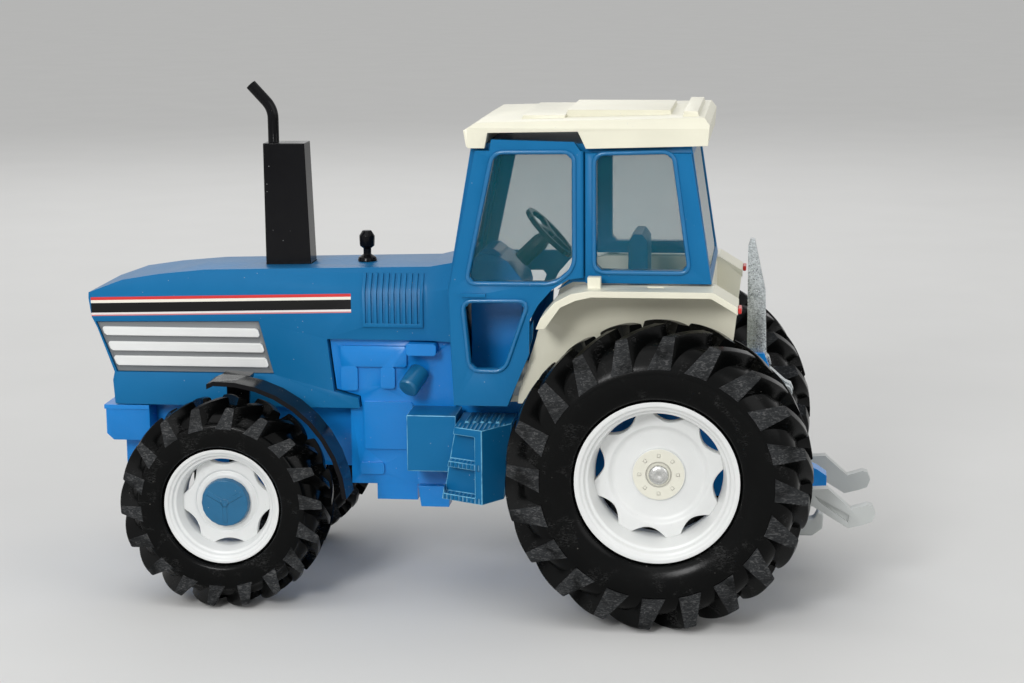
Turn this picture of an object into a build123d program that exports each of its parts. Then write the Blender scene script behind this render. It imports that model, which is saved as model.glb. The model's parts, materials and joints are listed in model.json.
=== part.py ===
from build123d import *

import os
from collections import namedtuple
from math import atan2, cos, degrees, pi, radians, sin, tan

os.makedirs("parts", exist_ok=True)

# Scale-model farm tractor, 1:32. Millimetres. X is forward, Y is to the driver's left, Z is up.
# Stations along the tractor are measured forward from the rear axle, heights from the ground.
# Small round parts are moulded with flats, and their bores with as many: a shaft whose corners
# lie inside the bore's flats turns freely.

# ---------------------------------------------------------------------------------------------
# Driving dimensions
# ---------------------------------------------------------------------------------------------

wheelbase = 84.7

# Clearances
running_gap = 0.05        # radial, a turning shaft in its bore
seat_gap = 0.1            # between pieces of one body that seat in each other
moving_gap = 0.3          # between faces that move past each other
tyre_gap = 0.03           # between a tyre and its rim
tyre_side_gap = 0.45      # between a rear tyre and the fender's wall

# Widths
cab_half_width = 19.6
cab_wall = 1.2
bonnet_half_width = 11.5
bonnet_top_half_width = 8.6
roof_overhang = 2.0
fender_sheet = 1.2
fender_wall_y = cab_half_width - 2 * cab_wall

# Wheels
rear_width = 18.0
Wheel = namedtuple(
    "Wheel",
    "axle_x radius width middle_y lugs lug_height lug_sweep lug_drop lug_tip lug_foot lug_depth"
    " lip_radius lip_height lip_thick rim_width rim_flats wall dish_out dish_thick band_rise ring_radius"
    " boss_radius boss_height bore_radius windows window_turn window_span window_dip",
)
rear = Wheel(
    axle_x=0.0, radius=29.0, width=rear_width,
    middle_y=fender_wall_y + fender_sheet + tyre_side_gap + rear_width / 2,
    lugs=20, lug_height=2.0, lug_sweep=6.5, lug_drop=1.8, lug_tip=2.2, lug_foot=5.0, lug_depth=7.0,
    lip_radius=15.5, lip_height=1.5, lip_thick=1.0, rim_width=14.4, rim_flats=24, wall=1.8,
    dish_out=-0.1, dish_thick=1.3, band_rise=0.8, ring_radius=8.8, boss_radius=4.9, boss_height=0.6,
    bore_radius=1.55, windows=8, window_turn=9, window_span=15.5, window_dip=1.8,
)
front = Wheel(
    axle_x=wheelbase, radius=20.7, width=12.6, middle_y=23.5,
    lugs=18, lug_height=1.6, lug_sweep=4.4, lug_drop=1.1, lug_tip=1.7, lug_foot=3.8, lug_depth=5.0,
    lip_radius=11.4, lip_height=1.4, lip_thick=0.9, rim_width=10.3, rim_flats=18, wall=1.3,
    dish_out=0.6, dish_thick=1.2, band_rise=0.25, ring_radius=6.0, boss_radius=4.9, boss_height=0.4,
    bore_radius=1.5, windows=6, window_turn=28, window_span=20, window_dip=1.4,
)

# Bonnet: its heights are measured up from its lower edge, which rests on the front support
support_rise = 3.1        # from the top of the front axle's wheels' hubs to the frame
support_depth = 13.1
frame_base_z = front.radius + support_rise
bonnet_base_z = frame_base_z + support_depth
nose_x = 115.2            # foremost point of the tractor
bonnet_rear_x = 41.7
scuttle_x = 46.4          # where the bonnet starts to swell towards the cab
scuttle_swell = 1.3
bonnet_top_z = bonnet_base_z + 27.8      # at the crease, above the engine
bonnet_belt_z = bonnet_base_z + 23.1     # where the leaning flank meets the upright side
bonnet_side_z = bonnet_base_z + 13.9     # lower edge beside the engine
bonnet_step_x = 65.5      # where the side drops past the engine
bonnet_slope = radians(1.6)              # fall to the front
slope_x = 61.3            # station where the heights of the crease and the belt are measured
grille_base_z = bonnet_base_z + 6.6
grille_top_z = bonnet_base_z + 17.0
grille_depth = 0.8
louvres = 11
louvre_raise = 0.45

# Fenders and cab: both stand on the rear axle's casting and follow the rear wheel
fender_top_z = 2 * rear.radius + 5.8
fender_front_x = rear.radius - 5.7
fender_rear_x = -rear.radius / 2
cab_floor_z = rear.radius + 11.0
cab_sill_z = fender_top_z + 0.4          # lower edge of the side windows' panels
cab_top_z = cab_sill_z + 26.4
cab_front_x = 41.2        # at the foot of the windscreen
cab_front_top_x = 36.2
cab_rear_x = -9.4
cab_rear_top_x = -5.4
door_thick = 1.2
door_rear_x = fender_front_x - 8.5
glass = 0.6

# Steering
kingpin_y = 14.2
kingpin_radius = 1.0
steer_arm = 8.0

# Rear hitch
lever_x, lever_z = -17.7, rear.radius + 16.0
yoke_x, yoke_z = -20.0, rear.radius - 7.0
lug_x = -30.1             # round end of the lug between the lift arms
lever_half = 1.3
cheek_in = lever_half + moving_gap
cheek_out = cheek_in + 1.4
horn_x, horn_z = -5.8, -4.9      # from a pivot to the pin that the link takes
link_pin_radius = 0.8
arm_y = 13.3
arm_end_x = -41.2

# The origin stands on the ground at the middle of the overall length.
rear_axle_x = -(nose_x + arm_end_x) / 2


# ---------------------------------------------------------------------------------------------
# Planes and common shapes
# ---------------------------------------------------------------------------------------------

def side_plane(y=0.0):
    """Upright plane along the tractor: sketch x is forward, sketch y is up, normal to the right."""
    return Plane(origin=(rear_axle_x, y, 0), x_dir=(1, 0, 0), z_dir=(0, -1, 0))


def cross_plane(x=0.0):
    """Upright plane across the tractor: sketch x is to the left, sketch y is up, normal forward."""
    return Plane(origin=(rear_axle_x + x, 0, 0), x_dir=(0, 1, 0), z_dir=(1, 0, 0))


def level_plane(z=0.0):
    """Level plane: sketch x is forward, sketch y is to the left, normal up."""
    return Plane(origin=(rear_axle_x, 0, z), x_dir=(1, 0, 0), z_dir=(0, 0, 1))


def slab(points, y_from, y_to, corner=0.0):
    """Plate that stands along the tractor, from its side outline, with cut corners."""
    with BuildPart() as plate:
        with BuildSketch(side_plane(y_from)) as outline:
            Polygon(*points, align=None)
            if corner:
                chamfer(outline.vertices(), corner)
        extrude(amount=y_from - y_to)
    return plate.part


def cross_slab(points, x_from, x_to, corner=0.0):
    """Plate that stands across the tractor, from its front outline, with cut corners."""
    with BuildPart() as plate:
        with BuildSketch(cross_plane(x_from)) as outline:
            Polygon(*points, align=None)
            if corner:
                chamfer(outline.vertices(), corner)
        extrude(amount=x_to - x_from)
    return plate.part


def plate(points, z_from, z_to):
    """Level plate, from its outline seen from above."""
    with BuildPart() as sheet:
        with BuildSketch(level_plane(z_from)):
            Polygon(*points, align=None)
        extrude(amount=z_to - z_from)
    return sheet.part


def block(x_from, x_to, y_from, y_to, z_from, z_to):
    """Square block between two stations, two sides and two heights."""
    return slab([(x_from, z_from), (x_to, z_from), (x_to, z_to), (x_from, z_to)], y_from, y_to)


def bar(x, z, radius, y_from, y_to, flats=0, bore=False):
    """Bar across the tractor, round or with flats; a bore's flats touch the radius."""
    with BuildPart() as made:
        with BuildSketch(side_plane(y_from)):
            with Locations((x, z)):
                if flats:
                    RegularPolygon(radius, flats, major_radius=not bore)
                else:
                    Circle(radius)
        extrude(amount=y_from - y_to)
    return made.part


def post(x, y, radius, z_from, z_to, flats=0, bore=False):
    """Upright bar, round or with flats; a bore's flats touch the radius."""
    with BuildPart() as made:
        with BuildSketch(level_plane(z_from)):
            with Locations((x, y)):
                if flats:
                    RegularPolygon(radius, flats, major_radius=not bore)
                else:
                    Circle(radius)
        extrude(amount=z_to - z_from)
    return made.part


def column(x, y, flats, rings):
    """Upright many-sided turning through (height, radius) rings."""
    with BuildPart() as made:
        for z, radius in rings:
            with BuildSketch(level_plane(z)):
                with Locations((x, y)):
                    RegularPolygon(radius, flats)
        loft(ruled=True)
    return made.part


def stack(wheel, flats, rings):
    """Many-sided turning about a wheel's axle through (outward from its middle, radius) rings."""
    with BuildPart() as made:
        for out, radius in rings:
            with BuildSketch(side_plane(wheel.middle_y + out)):
                with Locations((wheel.axle_x, wheel.radius)):
                    RegularPolygon(radius, flats)
        loft(ruled=True)
    return made.part


def arc_points(x, z, radius, start, end, steps):
    """Points along an arc about a cross axis, angles in degrees above the forward line."""
    angles = [radians(start + (end - start) * step / steps) for step in range(steps + 1)]
    return [(x + radius * cos(angle), z + radius * sin(angle)) for angle in angles]


# ---------------------------------------------------------------------------------------------
# Wheels: left-hand pieces, mirrored to the right at the end
# ---------------------------------------------------------------------------------------------

def lug(wheel, row):
    """One bar of the tread: a wedge that runs from the crown's middle, sweeping back and down."""
    top, foot = 2 * wheel.radius, 2 * wheel.radius - wheel.lug_depth
    reach = Vector(-wheel.lug_sweep, row * wheel.width / 2, -wheel.lug_drop)
    with BuildPart() as wedge:
        with BuildSketch(side_plane(wheel.middle_y)):
            Polygon(
                (wheel.axle_x - wheel.lug_foot / 2, foot), (wheel.axle_x + wheel.lug_foot / 2, foot),
                (wheel.axle_x + wheel.lug_tip / 2, top), (wheel.axle_x - wheel.lug_tip / 2, top),
                align=None,
            )
        extrude(amount=reach.length, dir=reach)
    return wedge.part


def tyre(wheel):
    """Moulded tyre: a many-sided carcass and two rows of swept lugs, staggered by half a pitch."""
    half = wheel.width / 2
    crown = wheel.radius - wheel.lug_height
    bead_radius = (wheel.lip_radius + tyre_gap) / cos(pi / wheel.lugs)
    bulge_radius = bead_radius + 0.43 * (crown - bead_radius)
    bore = wheel.lip_radius - wheel.lip_height + tyre_gap
    bead_out = wheel.rim_width / 2 - wheel.lip_thick - tyre_gap
    outer = [(bead_out, bead_radius), (half, bulge_radius), (0.84 * half, crown - 0.4)]
    inner = [(-out, radius) for out, radius in outer]
    axle = Axis((rear_axle_x + wheel.axle_x, 0, wheel.radius), (0, 1, 0))
    pitch = 360 / wheel.lugs
    wedges = [
        lug(wheel, row).rotate(axle, pitch * (step + stagger))
        for row, stagger in ((1, 0.0), (-1, 0.5))
        for step in range(wheel.lugs)
    ]
    with BuildPart() as moulding:
        add(stack(wheel, wheel.lugs, inner + outer[::-1]))
        add(
            bar(
                wheel.axle_x, wheel.radius, bore, wheel.middle_y - half, wheel.middle_y + half,
                flats=wheel.lugs, bore=True,
            ),
            mode=Mode.SUBTRACT,
        )
        add(wedges)
    return moulding.part


def dish(wheel, hub_reach):
    """Pressed disc of a rim: proud outer band, windows at its edge, boss and inward hub."""
    throat = wheel.lip_radius - wheel.lip_height - wheel.wall
    face = wheel.dish_out
    band = face + wheel.band_rise
    back = face - wheel.dish_thick
    arc = [
        (angle, throat - wheel.window_dip * (1 - (angle / wheel.window_span) ** 2))
        for angle in (wheel.window_span * share for share in (-1, -0.6, 0, 0.6, 1))
    ]
    arc += [(wheel.window_span, throat + 1), (-wheel.window_span, throat + 1)]
    window = [(radius * cos(radians(angle)), radius * sin(radians(angle))) for angle, radius in arc]
    with BuildPart() as disc:
        add(stack(wheel, wheel.rim_flats, [(back, throat + 0.4), (band, throat + 0.4)]))
        add(
            stack(wheel, wheel.rim_flats, [(face, wheel.ring_radius), (band, wheel.ring_radius + 0.5)]),
            mode=Mode.SUBTRACT,
        )
        with BuildSketch(side_plane(wheel.middle_y + back)):
            with Locations((wheel.axle_x, wheel.radius)):
                with PolarLocations(0, wheel.windows, wheel.window_turn):
                    Polygon(*window, align=None)
        extrude(amount=back - band, mode=Mode.SUBTRACT)
        add(stack(wheel, 16, [(back, wheel.boss_radius), (face + wheel.boss_height, wheel.boss_radius)]))
        add(stack(wheel, 12, [(hub_reach, wheel.boss_radius - 1.5), (back, wheel.boss_radius - 1.5)]))
        add(
            bar(
                wheel.axle_x, wheel.radius, wheel.bore_radius, wheel.middle_y + hub_reach,
                wheel.middle_y + face + wheel.boss_height, flats=12, bore=True,
            ),
            mode=Mode.SUBTRACT,
        )
    return disc.part


def rim(wheel, hub_reach):
    """Barrel with an outer lip and a stepped mouth, carrying its dish."""
    half = wheel.rim_width / 2
    seat = wheel.lip_radius - wheel.lip_height
    throat = seat - wheel.wall
    step = half - wheel.lip_thick
    mouth = wheel.lip_radius - 0.7
    with BuildPart() as barrel:
        add(stack(wheel, wheel.rim_flats, [(-half, seat), (half, seat)]))
        add(stack(wheel, wheel.rim_flats, [(step, wheel.lip_radius), (half, wheel.lip_radius)]))
        add(stack(wheel, wheel.rim_flats, [(-half, throat), (half, throat)]), mode=Mode.SUBTRACT)
        for rings in ([(wheel.dish_out, throat), (step, throat + 0.7)], [(step, seat - 0.5), (half, mouth)]):
            add(stack(wheel, wheel.rim_flats, rings), mode=Mode.SUBTRACT)
        add(dish(wheel, hub_reach))
    return barrel.part


housing_end_y = fender_wall_y
rear_hub_reach = housing_end_y + moving_gap - rear.middle_y
knuckle_face_y = kingpin_y + 4.0
front_hub_reach = knuckle_face_y + moving_gap - front.middle_y

with BuildPart() as rear_tyre:
    add(tyre(rear))
with BuildPart() as rear_rim:
    add(rim(rear, rear_hub_reach))
with BuildPart() as front_tyre:
    add(tyre(front))
with BuildPart() as front_rim:
    add(rim(front, front_hub_reach))

# Rear axle: one round steel bar with a riveted head at each end, outside the wheels
axle_radius = rear.bore_radius - running_gap
axle_head_y = rear.middle_y + rear.dish_out + rear.boss_height + moving_gap
axle_head_radius = 1.9
with BuildPart() as rear_axle:
    add(bar(rear.axle_x, rear.radius, axle_radius, -axle_head_y, axle_head_y))
    for side in (-1, 1):
        head_y = side * axle_head_y
        add(bar(rear.axle_x, rear.radius, axle_head_radius, head_y, head_y + side * 0.5, flats=12))

# ---------------------------------------------------------------------------------------------
# Front axle, knuckles, track rod and front mudguards
# ---------------------------------------------------------------------------------------------

axle_z = front.radius
beam_half = 2.05
eye_radius = 2.2
pivot_half = 4.0          # of the block that the beam hangs from
with BuildPart() as front_axle:
    with BuildSketch(level_plane(axle_z - beam_half)):
        with Locations((wheelbase, 0)):
            SlotCenterToCenter(2 * kingpin_y, 2 * eye_radius, rotation=90)
    extrude(amount=2 * beam_half)
    add(
        block(
            wheelbase - pivot_half, wheelbase + pivot_half, -pivot_half, pivot_half,
            axle_z - beam_half - 1.5, frame_base_z,
        )
    )
    for side in (-1, 1):
        add(
            post(
                wheelbase, side * kingpin_y, kingpin_radius + running_gap, axle_z - beam_half,
                axle_z + beam_half, flats=12, bore=True,
            ),
            mode=Mode.SUBTRACT,
        )

# Each knuckle is a fork over the beam's eye, with the stub axle and, below, the steering arm.
ear_in = beam_half + 0.15
ear_thick = 1.4
ear_out = ear_in + ear_thick
fork_half = 2.4
web_y = kingpin_y + eye_radius + moving_gap
stub_radius = front.bore_radius - running_gap
hub_seat_y = front.middle_y + front.dish_out + front.boss_height + moving_gap
hub_thick = 1.3
arm_pin_x = wheelbase - steer_arm
arm_pin_y = kingpin_y       # straight behind the kingpin, so the linkage is a parallelogram
arm_pin_radius = 0.7
arm_half = 1.5
rod_thick = 1.4
rod_half = 1.5

with BuildPart() as knuckle:
    fork = [
        (wheelbase - fork_half, knuckle_face_y), (wheelbase - fork_half, kingpin_y - 1.2),
        (wheelbase - 1.2, kingpin_y - fork_half), (wheelbase + 1.2, kingpin_y - fork_half),
        (wheelbase + fork_half, kingpin_y - 1.2), (wheelbase + fork_half, knuckle_face_y),
    ]
    for low, high in ((ear_in, ear_out), (-ear_out, -ear_in)):
        add(plate(fork, axle_z + low, axle_z + high))
    add(
        block(
            wheelbase - fork_half, wheelbase + fork_half, web_y, knuckle_face_y,
            axle_z - ear_out, axle_z + ear_out,
        )
    )
    add(post(wheelbase, kingpin_y, kingpin_radius, axle_z - ear_out, axle_z + ear_out, flats=12))
    add(bar(wheelbase, axle_z, stub_radius, knuckle_face_y, hub_seat_y))
    add(
        plate(
            [(wheelbase, kingpin_y + arm_half), (arm_pin_x, arm_pin_y + arm_half),
             (arm_pin_x - arm_half, arm_pin_y), (arm_pin_x, arm_pin_y - arm_half),
             (wheelbase, kingpin_y - arm_half)],
            axle_z - ear_out, axle_z - ear_in,
        )
    )
    pin_base_z = axle_z - ear_out - rod_thick - 0.6
    add(post(arm_pin_x, arm_pin_y, arm_pin_radius, pin_base_z, axle_z - ear_out, flats=12))

# The hub cap covers the stub's end.
with BuildPart() as front_hub:
    cap_out = hub_seat_y - front.middle_y
    add(stack(front, 20, [(cap_out, front.boss_radius), (cap_out + hub_thick, front.boss_radius - 0.3)]))

with BuildPart() as track_rod:
    with BuildSketch(level_plane(axle_z - ear_out - 0.15 - rod_thick)):
        with Locations((arm_pin_x, 0)):
            SlotCenterToCenter(2 * arm_pin_y, 2 * rod_half, rotation=90)
        with Locations((arm_pin_x, -arm_pin_y), (arm_pin_x, arm_pin_y)):
            RegularPolygon(arm_pin_radius + running_gap, 12, major_radius=False, mode=Mode.SUBTRACT)
    extrude(amount=rod_thick)

# The mudguards turn with the wheels: each is a curved sheet on a strap from its knuckle.
guard_radius = front.radius + 3.8
guard_sheet = 0.9
guard_inner_y = 20.0
guard_outer_y = 27.2
guard_front, guard_rear = 87, 176        # degrees above the forward line
strap_y = kingpin_y + 1.8
strap_thick = 1.0
with BuildPart() as front_mudguard:
    inner_radius = guard_radius - guard_sheet
    crown = arc_points(wheelbase, axle_z, guard_radius, guard_front, guard_rear, 9)
    under = arc_points(wheelbase, axle_z, inner_radius, guard_rear, guard_front, 9)
    rolled = [(wheelbase + 2.6, axle_z + inner_radius - 0.7), (wheelbase + 2.6, axle_z + guard_radius - 0.6)]
    add(slab(crown + under + rolled, guard_inner_y, guard_outer_y))
    bracket = arc_points(wheelbase, axle_z, guard_radius, guard_front, 100, 1)
    bracket += arc_points(wheelbase, axle_z, inner_radius, 100, guard_front, 1)
    add(slab(bracket, strap_y, guard_inner_y))
    strap_top, strap_foot = axle_z + inner_radius, axle_z + ear_out
    add(
        slab(
            [(wheelbase - 2.2, strap_foot), (wheelbase + 1.2, strap_foot), (wheelbase + 1.2, strap_top),
             (wheelbase - 3.6, strap_top)],
            strap_y, strap_y + strap_thick,
        )
    )

# ---------------------------------------------------------------------------------------------
# Chassis casting: front support, engine, gearbox and rear axle housing in one
# ---------------------------------------------------------------------------------------------

engine_half = 10.0
engine_front_x = 62.5
engine_rear_x = 41.3
engine_base_z = rear.radius - 7.8
support_top_z = bonnet_base_z - 0.2
support_front_x = nose_x - 2.7
support_rear_x = nose_x - 11.7
housing_rear_x = -16.5
housing_base_z = rear.radius - 9.0
housing_top_z = rear.radius + 10.6
housing_front_x = 8.0
lever_pin_radius = 1.2
yoke_radius = 1.3
lug_half = 2.2

# Plain blocks of the casting, each as far to the left as to the right
CastBlock = namedtuple("CastBlock", "x_from x_to half_width z_from z_to")
cast_blocks = [
    CastBlock(support_rear_x + 0.8, support_front_x - 2.5, 6.5, front.radius - 1.8, support_top_z),
    CastBlock(support_rear_x, support_front_x + 0.3, bonnet_half_width, support_top_z - 0.9, support_top_z),
    CastBlock(engine_front_x, support_rear_x + 1.0, 6.0, frame_base_z, support_top_z),
    CastBlock(engine_rear_x, engine_front_x, engine_half, engine_base_z, bonnet_base_z),
    CastBlock(49.2, 57.4, engine_half, engine_base_z - 3.2, engine_base_z),
    CastBlock(housing_front_x, engine_rear_x, 8.0, rear.radius - 7.0, cab_floor_z),
    CastBlock(housing_rear_x, housing_front_x, 9.0, housing_base_z, housing_top_z),
]

# Raised shapes on the engine's sides: the manifold with its two branches, the block's cover and
# the sump's pad. Heights are measured down from the bonnet's side or up from the engine's base.
Relief = namedtuple("Relief", "x_from x_to z_from z_to height")
reliefs = [
    Relief(50.9, 64.2, bonnet_side_z - 5.6, bonnet_side_z - 1.4, 0.8),
    Relief(60.8, 64.2, bonnet_base_z + 3.4, bonnet_side_z - 5.6, 0.8),
    Relief(53.3, 56.2, bonnet_side_z - 10.0, bonnet_side_z - 5.6, 0.8),
    Relief(44.6, 50.6, bonnet_side_z - 2.7, bonnet_side_z - 0.4, 3.4),
    Relief(49.9, 59.9, engine_base_z + 7.2, bonnet_base_z + 1.2, 0.45),
    Relief(55.8, 60.8, engine_base_z + 2.0, engine_base_z + 4.4, 0.6),
]

with BuildPart() as chassis:
    for row in cast_blocks:
        add(block(row.x_from, row.x_to, -row.half_width, row.half_width, row.z_from, row.z_to))
    # front support under the nose
    add(
        slab(
            [(support_rear_x, support_top_z - 7.3), (support_front_x - 1.4, support_top_z - 7.3),
             (support_front_x, support_top_z - 6.0), (support_front_x, support_top_z),
             (support_rear_x, support_top_z)],
            -bonnet_half_width + 0.2, bonnet_half_width - 0.2,
        )
    )
    # upper part of the engine, which reaches forward behind the bonnet's tongue
    add(
        slab(
            [(engine_rear_x, bonnet_base_z), (60.2, bonnet_base_z), (60.4, bonnet_base_z + 2.2),
             (bonnet_step_x - 0.3, bonnet_base_z + 3.6), (bonnet_step_x + 0.9, bonnet_side_z - seat_gap),
             (engine_rear_x, bonnet_side_z - seat_gap)],
            -engine_half, engine_half,
        )
    )
    for side in (-1, 1):
        for row in reliefs:
            corners = [
                (row.x_from, row.z_from), (row.x_to, row.z_from), (row.x_to, row.z_to),
                (row.x_from, row.z_to),
            ]
            add(slab(corners, side * (engine_half - 0.5), side * (engine_half + row.height), 0.4))
        # low block under the tank, with leaning ends
        add(
            slab(
                [(42.6, engine_base_z - 4.0), (48.2, engine_base_z - 4.0), (48.8, engine_base_z + 0.2),
                 (42.2, engine_base_z + 0.2)],
                side * (engine_half - 2), side * (engine_half + 2),
            )
        )
    # rear axle housing
    add(bar(rear.axle_x, rear.radius, 5.5, -housing_end_y, housing_end_y, flats=12))
    # cheeks for the lift lever, and the pin between them
    for side in (-1, 1):
        add(
            slab(
                [(housing_rear_x + 5.0, housing_top_z - 1.6), (housing_rear_x + 5.0, lever_z - 3.0),
                 (lever_x + 2.4, lever_z + 2.6), (lever_x - 1.6, lever_z + 2.6), (lever_x - 2.6, lever_z),
                 (housing_rear_x - 0.1, housing_top_z - 3.6), (housing_rear_x + 2.5, housing_top_z - 3.6)],
                side * cheek_in, side * cheek_out,
            )
        )
    add(bar(lever_x, lever_z, lever_pin_radius, -cheek_in, cheek_in))
    # lug for the lift yoke
    add(
        slab(
            [(housing_rear_x + 0.5, housing_base_z + 0.2), (lug_x, yoke_z - 2.7), (lug_x - 1.9, yoke_z - 1.6),
             (lug_x - 1.9, yoke_z + 0.8), (lug_x, yoke_z + 2.1), (housing_rear_x + 0.5, yoke_z + 8.0)],
            -lug_half, lug_half,
        )
    )
    # bores for the yoke and the rear axle
    for x, z, radius, half in (
        (yoke_x, yoke_z, yoke_radius, lug_half), (rear.axle_x, rear.radius, axle_radius, housing_end_y),
    ):
        add(bar(x, z, radius + running_gap, -half, half, flats=12, bore=True), mode=Mode.SUBTRACT)

# ---------------------------------------------------------------------------------------------
# Bonnet, grilles, exhaust and pre-cleaner
# ---------------------------------------------------------------------------------------------

def on_slope(x, z):
    """Height at station x of a line that falls with the bonnet and passes height z."""
    return z - (x - slope_x) * tan(bonnet_slope)


# The side grille is an opening seen from the side; the nose leans back below its brow.
side_grille_outline = [
    (nose_x - 1.5, grille_top_z - 0.2), (80.4, grille_top_z + 0.3), (77.6, grille_base_z),
    (nose_x - 5.4, grille_base_z),
]
nose_foot = (nose_x - 4.9, grille_base_z)
nose_brow = (nose_x - 1.7, grille_top_z - 1.4)
nose_lean = atan2(nose_brow[0] - nose_foot[0], nose_brow[1] - nose_foot[1])
nose_length = (nose_brow[1] - nose_foot[1]) / cos(nose_lean)
nose_plane = Plane(
    origin=(rear_axle_x + nose_foot[0], 0, nose_foot[1]),
    x_dir=(0, 1, 0), z_dir=(cos(nose_lean), 0, -sin(nose_lean)),
)
front_grille_half = bonnet_half_width - 1.5
front_grille_low, front_grille_high = 0.6, nose_length - 0.5

exhaust_foot_x, exhaust_head_x, exhaust_front_x = 71.4, 72.2, 80.6
exhaust_half = 2.8
exhaust_seat_z = bonnet_top_z - 0.5
louvre_rear_x, louvre_front_x = 47.3, 59.4
slat_pitch = (louvre_front_x - louvre_rear_x) / (louvres - 0.5)
rear_belt = on_slope(scuttle_x, bonnet_belt_z)
rear_crease = on_slope(scuttle_x, bonnet_top_z)

with BuildPart() as bonnet:
    silhouette = [
        (scuttle_x, rear_crease), (91.6, bonnet_top_z - 0.7), (101.0, bonnet_top_z - 1.6),
        (nose_x - 6.6, bonnet_top_z - 2.8), (nose_x, bonnet_top_z - 5.2), (nose_x - 0.6, grille_top_z + 0.9),
        nose_brow, nose_foot, (nose_x - 4.5, grille_base_z - 1.7), (nose_x - 4.8, bonnet_base_z),
        (60.4, bonnet_base_z), (60.6, bonnet_base_z + 2.0), (bonnet_step_x, bonnet_base_z + 3.3),
        (bonnet_step_x + 1.2, bonnet_side_z), (scuttle_x, bonnet_side_z),
    ]
    add(slab(silhouette, -bonnet_half_width, bonnet_half_width))
    # leaning flanks
    with BuildSketch(cross_plane(scuttle_x)):
        for side in (-1, 1):
            Polygon(
                (side * bonnet_half_width, rear_belt), (side * (bonnet_half_width + 5), rear_belt),
                (side * (bonnet_half_width + 5), rear_crease + 8),
                (side * (bonnet_top_half_width - 1.2), rear_crease + 2),
                (side * bonnet_top_half_width, rear_crease), align=None,
            )
    along = Vector(cos(bonnet_slope), 0, -sin(bonnet_slope))
    extrude(amount=nose_x - scuttle_x + 5, dir=along, mode=Mode.SUBTRACT)
    # louvres: slats that wrap over the belt, and the ledge that they stand on
    slat_out = bonnet_half_width + louvre_raise
    slat_section = [
        (bonnet_half_width - 1, bonnet_side_z + 3.2), (slat_out, bonnet_side_z + 3.4),
        (slat_out, bonnet_belt_z + 0.1),
        (bonnet_top_half_width + louvre_raise + 0.7, bonnet_top_z - 0.8),
        (bonnet_top_half_width - 1, bonnet_top_z - 1.0),
    ]
    ledge_section = [
        (bonnet_half_width - 1, bonnet_side_z + 2.4), (slat_out, bonnet_side_z + 2.6),
        (slat_out, bonnet_side_z + 3.4), (bonnet_half_width - 1, bonnet_side_z + 3.4),
    ]
    for side in (-1, 1):
        for slat in range(louvres):
            slat_x = louvre_rear_x + slat * slat_pitch
            add(cross_slab([(side * y, z) for y, z in slat_section], slat_x, slat_x + slat_pitch / 2))
        add(cross_slab([(side * y, z) for y, z in ledge_section], louvre_rear_x, louvre_front_x))
    # scuttle that swells towards the cab
    lean_y, lean_z = bonnet_half_width - bonnet_top_half_width, rear_crease - rear_belt
    for x, swell, rise in ((scuttle_x, 0.0, 0.0), (bonnet_rear_x, scuttle_swell, 1.0)):
        wide = bonnet_half_width + swell
        with BuildSketch(cross_plane(x)):
            Polygon(
                (-wide, bonnet_side_z), (wide, bonnet_side_z), (wide, rear_belt + rise),
                (wide - lean_y, rear_belt + lean_z + rise), (lean_y - wide, rear_belt + lean_z + rise),
                (-wide, rear_belt + rise), align=None,
            )
    loft(ruled=True)
    # seats of the exhaust and of the grilles
    add(
        block(
            exhaust_foot_x - seat_gap, exhaust_front_x + seat_gap, -exhaust_half - seat_gap,
            exhaust_half + seat_gap, exhaust_seat_z, exhaust_seat_z + 5,
        ),
        mode=Mode.SUBTRACT,
    )
    for side in (-1, 1):
        add(
            slab(side_grille_outline, side * (bonnet_half_width - grille_depth),
            side * (bonnet_half_width + 2)),
            mode=Mode.SUBTRACT,
        )
    with BuildSketch(nose_plane):
        Polygon(
            (-front_grille_half, front_grille_low), (front_grille_half, front_grille_low),
            (front_grille_half, front_grille_high), (-front_grille_half, front_grille_high), align=None,
        )
    extrude(amount=-grille_depth, mode=Mode.SUBTRACT)

# Three bars with cut corners in front of a panel, on each side
grille_back = 0.3
side_bars = ((7.4, 9.2), (4.3, 6.2), (1.3, 3.3))       # from and to, above the grille's lower edge
with BuildPart() as side_grille:
    seat_y = bonnet_half_width - grille_depth
    with BuildSketch(side_plane(seat_y)):
        Polygon(*side_grille_outline, align=None)
        offset(amount=-seat_gap, mode=Mode.REPLACE, kind=Kind.INTERSECTION)
    extrude(amount=-grille_back)
    for low, high in side_bars:
        # both ends follow the slanted ends of the opening
        ends = [
            (78.2 + low * 0.27, grille_base_z + low), (78.2 + high * 0.27, grille_base_z + high),
            (nose_x - 5.9 + high * 0.36, grille_base_z + high),
            (nose_x - 5.9 + low * 0.36, grille_base_z + low),
        ]
        add(slab(ends, seat_y + grille_back, seat_y + grille_depth, 0.4))

# The front grille has four bars and, above them, two square lamps.
front_bars = 4
lamp_width, lamp_height = 5.4, 2.6
with BuildPart() as front_grille:
    inner_half = front_grille_half - seat_gap
    low, high = front_grille_low + seat_gap, front_grille_high - seat_gap
    bar_pitch = (high - low - lamp_height - 0.6) / front_bars
    with BuildSketch(nose_plane.offset(-grille_depth)):
        Polygon((-inner_half, low), (inner_half, low), (inner_half, high), (-inner_half, high), align=None)
    extrude(amount=grille_back)
    with BuildSketch(nose_plane.offset(grille_back - grille_depth)):
        for row in range(front_bars):
            with Locations((0, low + (row + 0.5) * bar_pitch)):
                Rectangle(2 * inner_half - 0.6, bar_pitch * 0.55)
        for side in (-1, 1):
            with Locations((side * (inner_half - 0.4 - lamp_width / 2), high - 0.3 - lamp_height / 2)):
                Rectangle(lamp_width, lamp_height)
    extrude(amount=grille_depth - grille_back)

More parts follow.
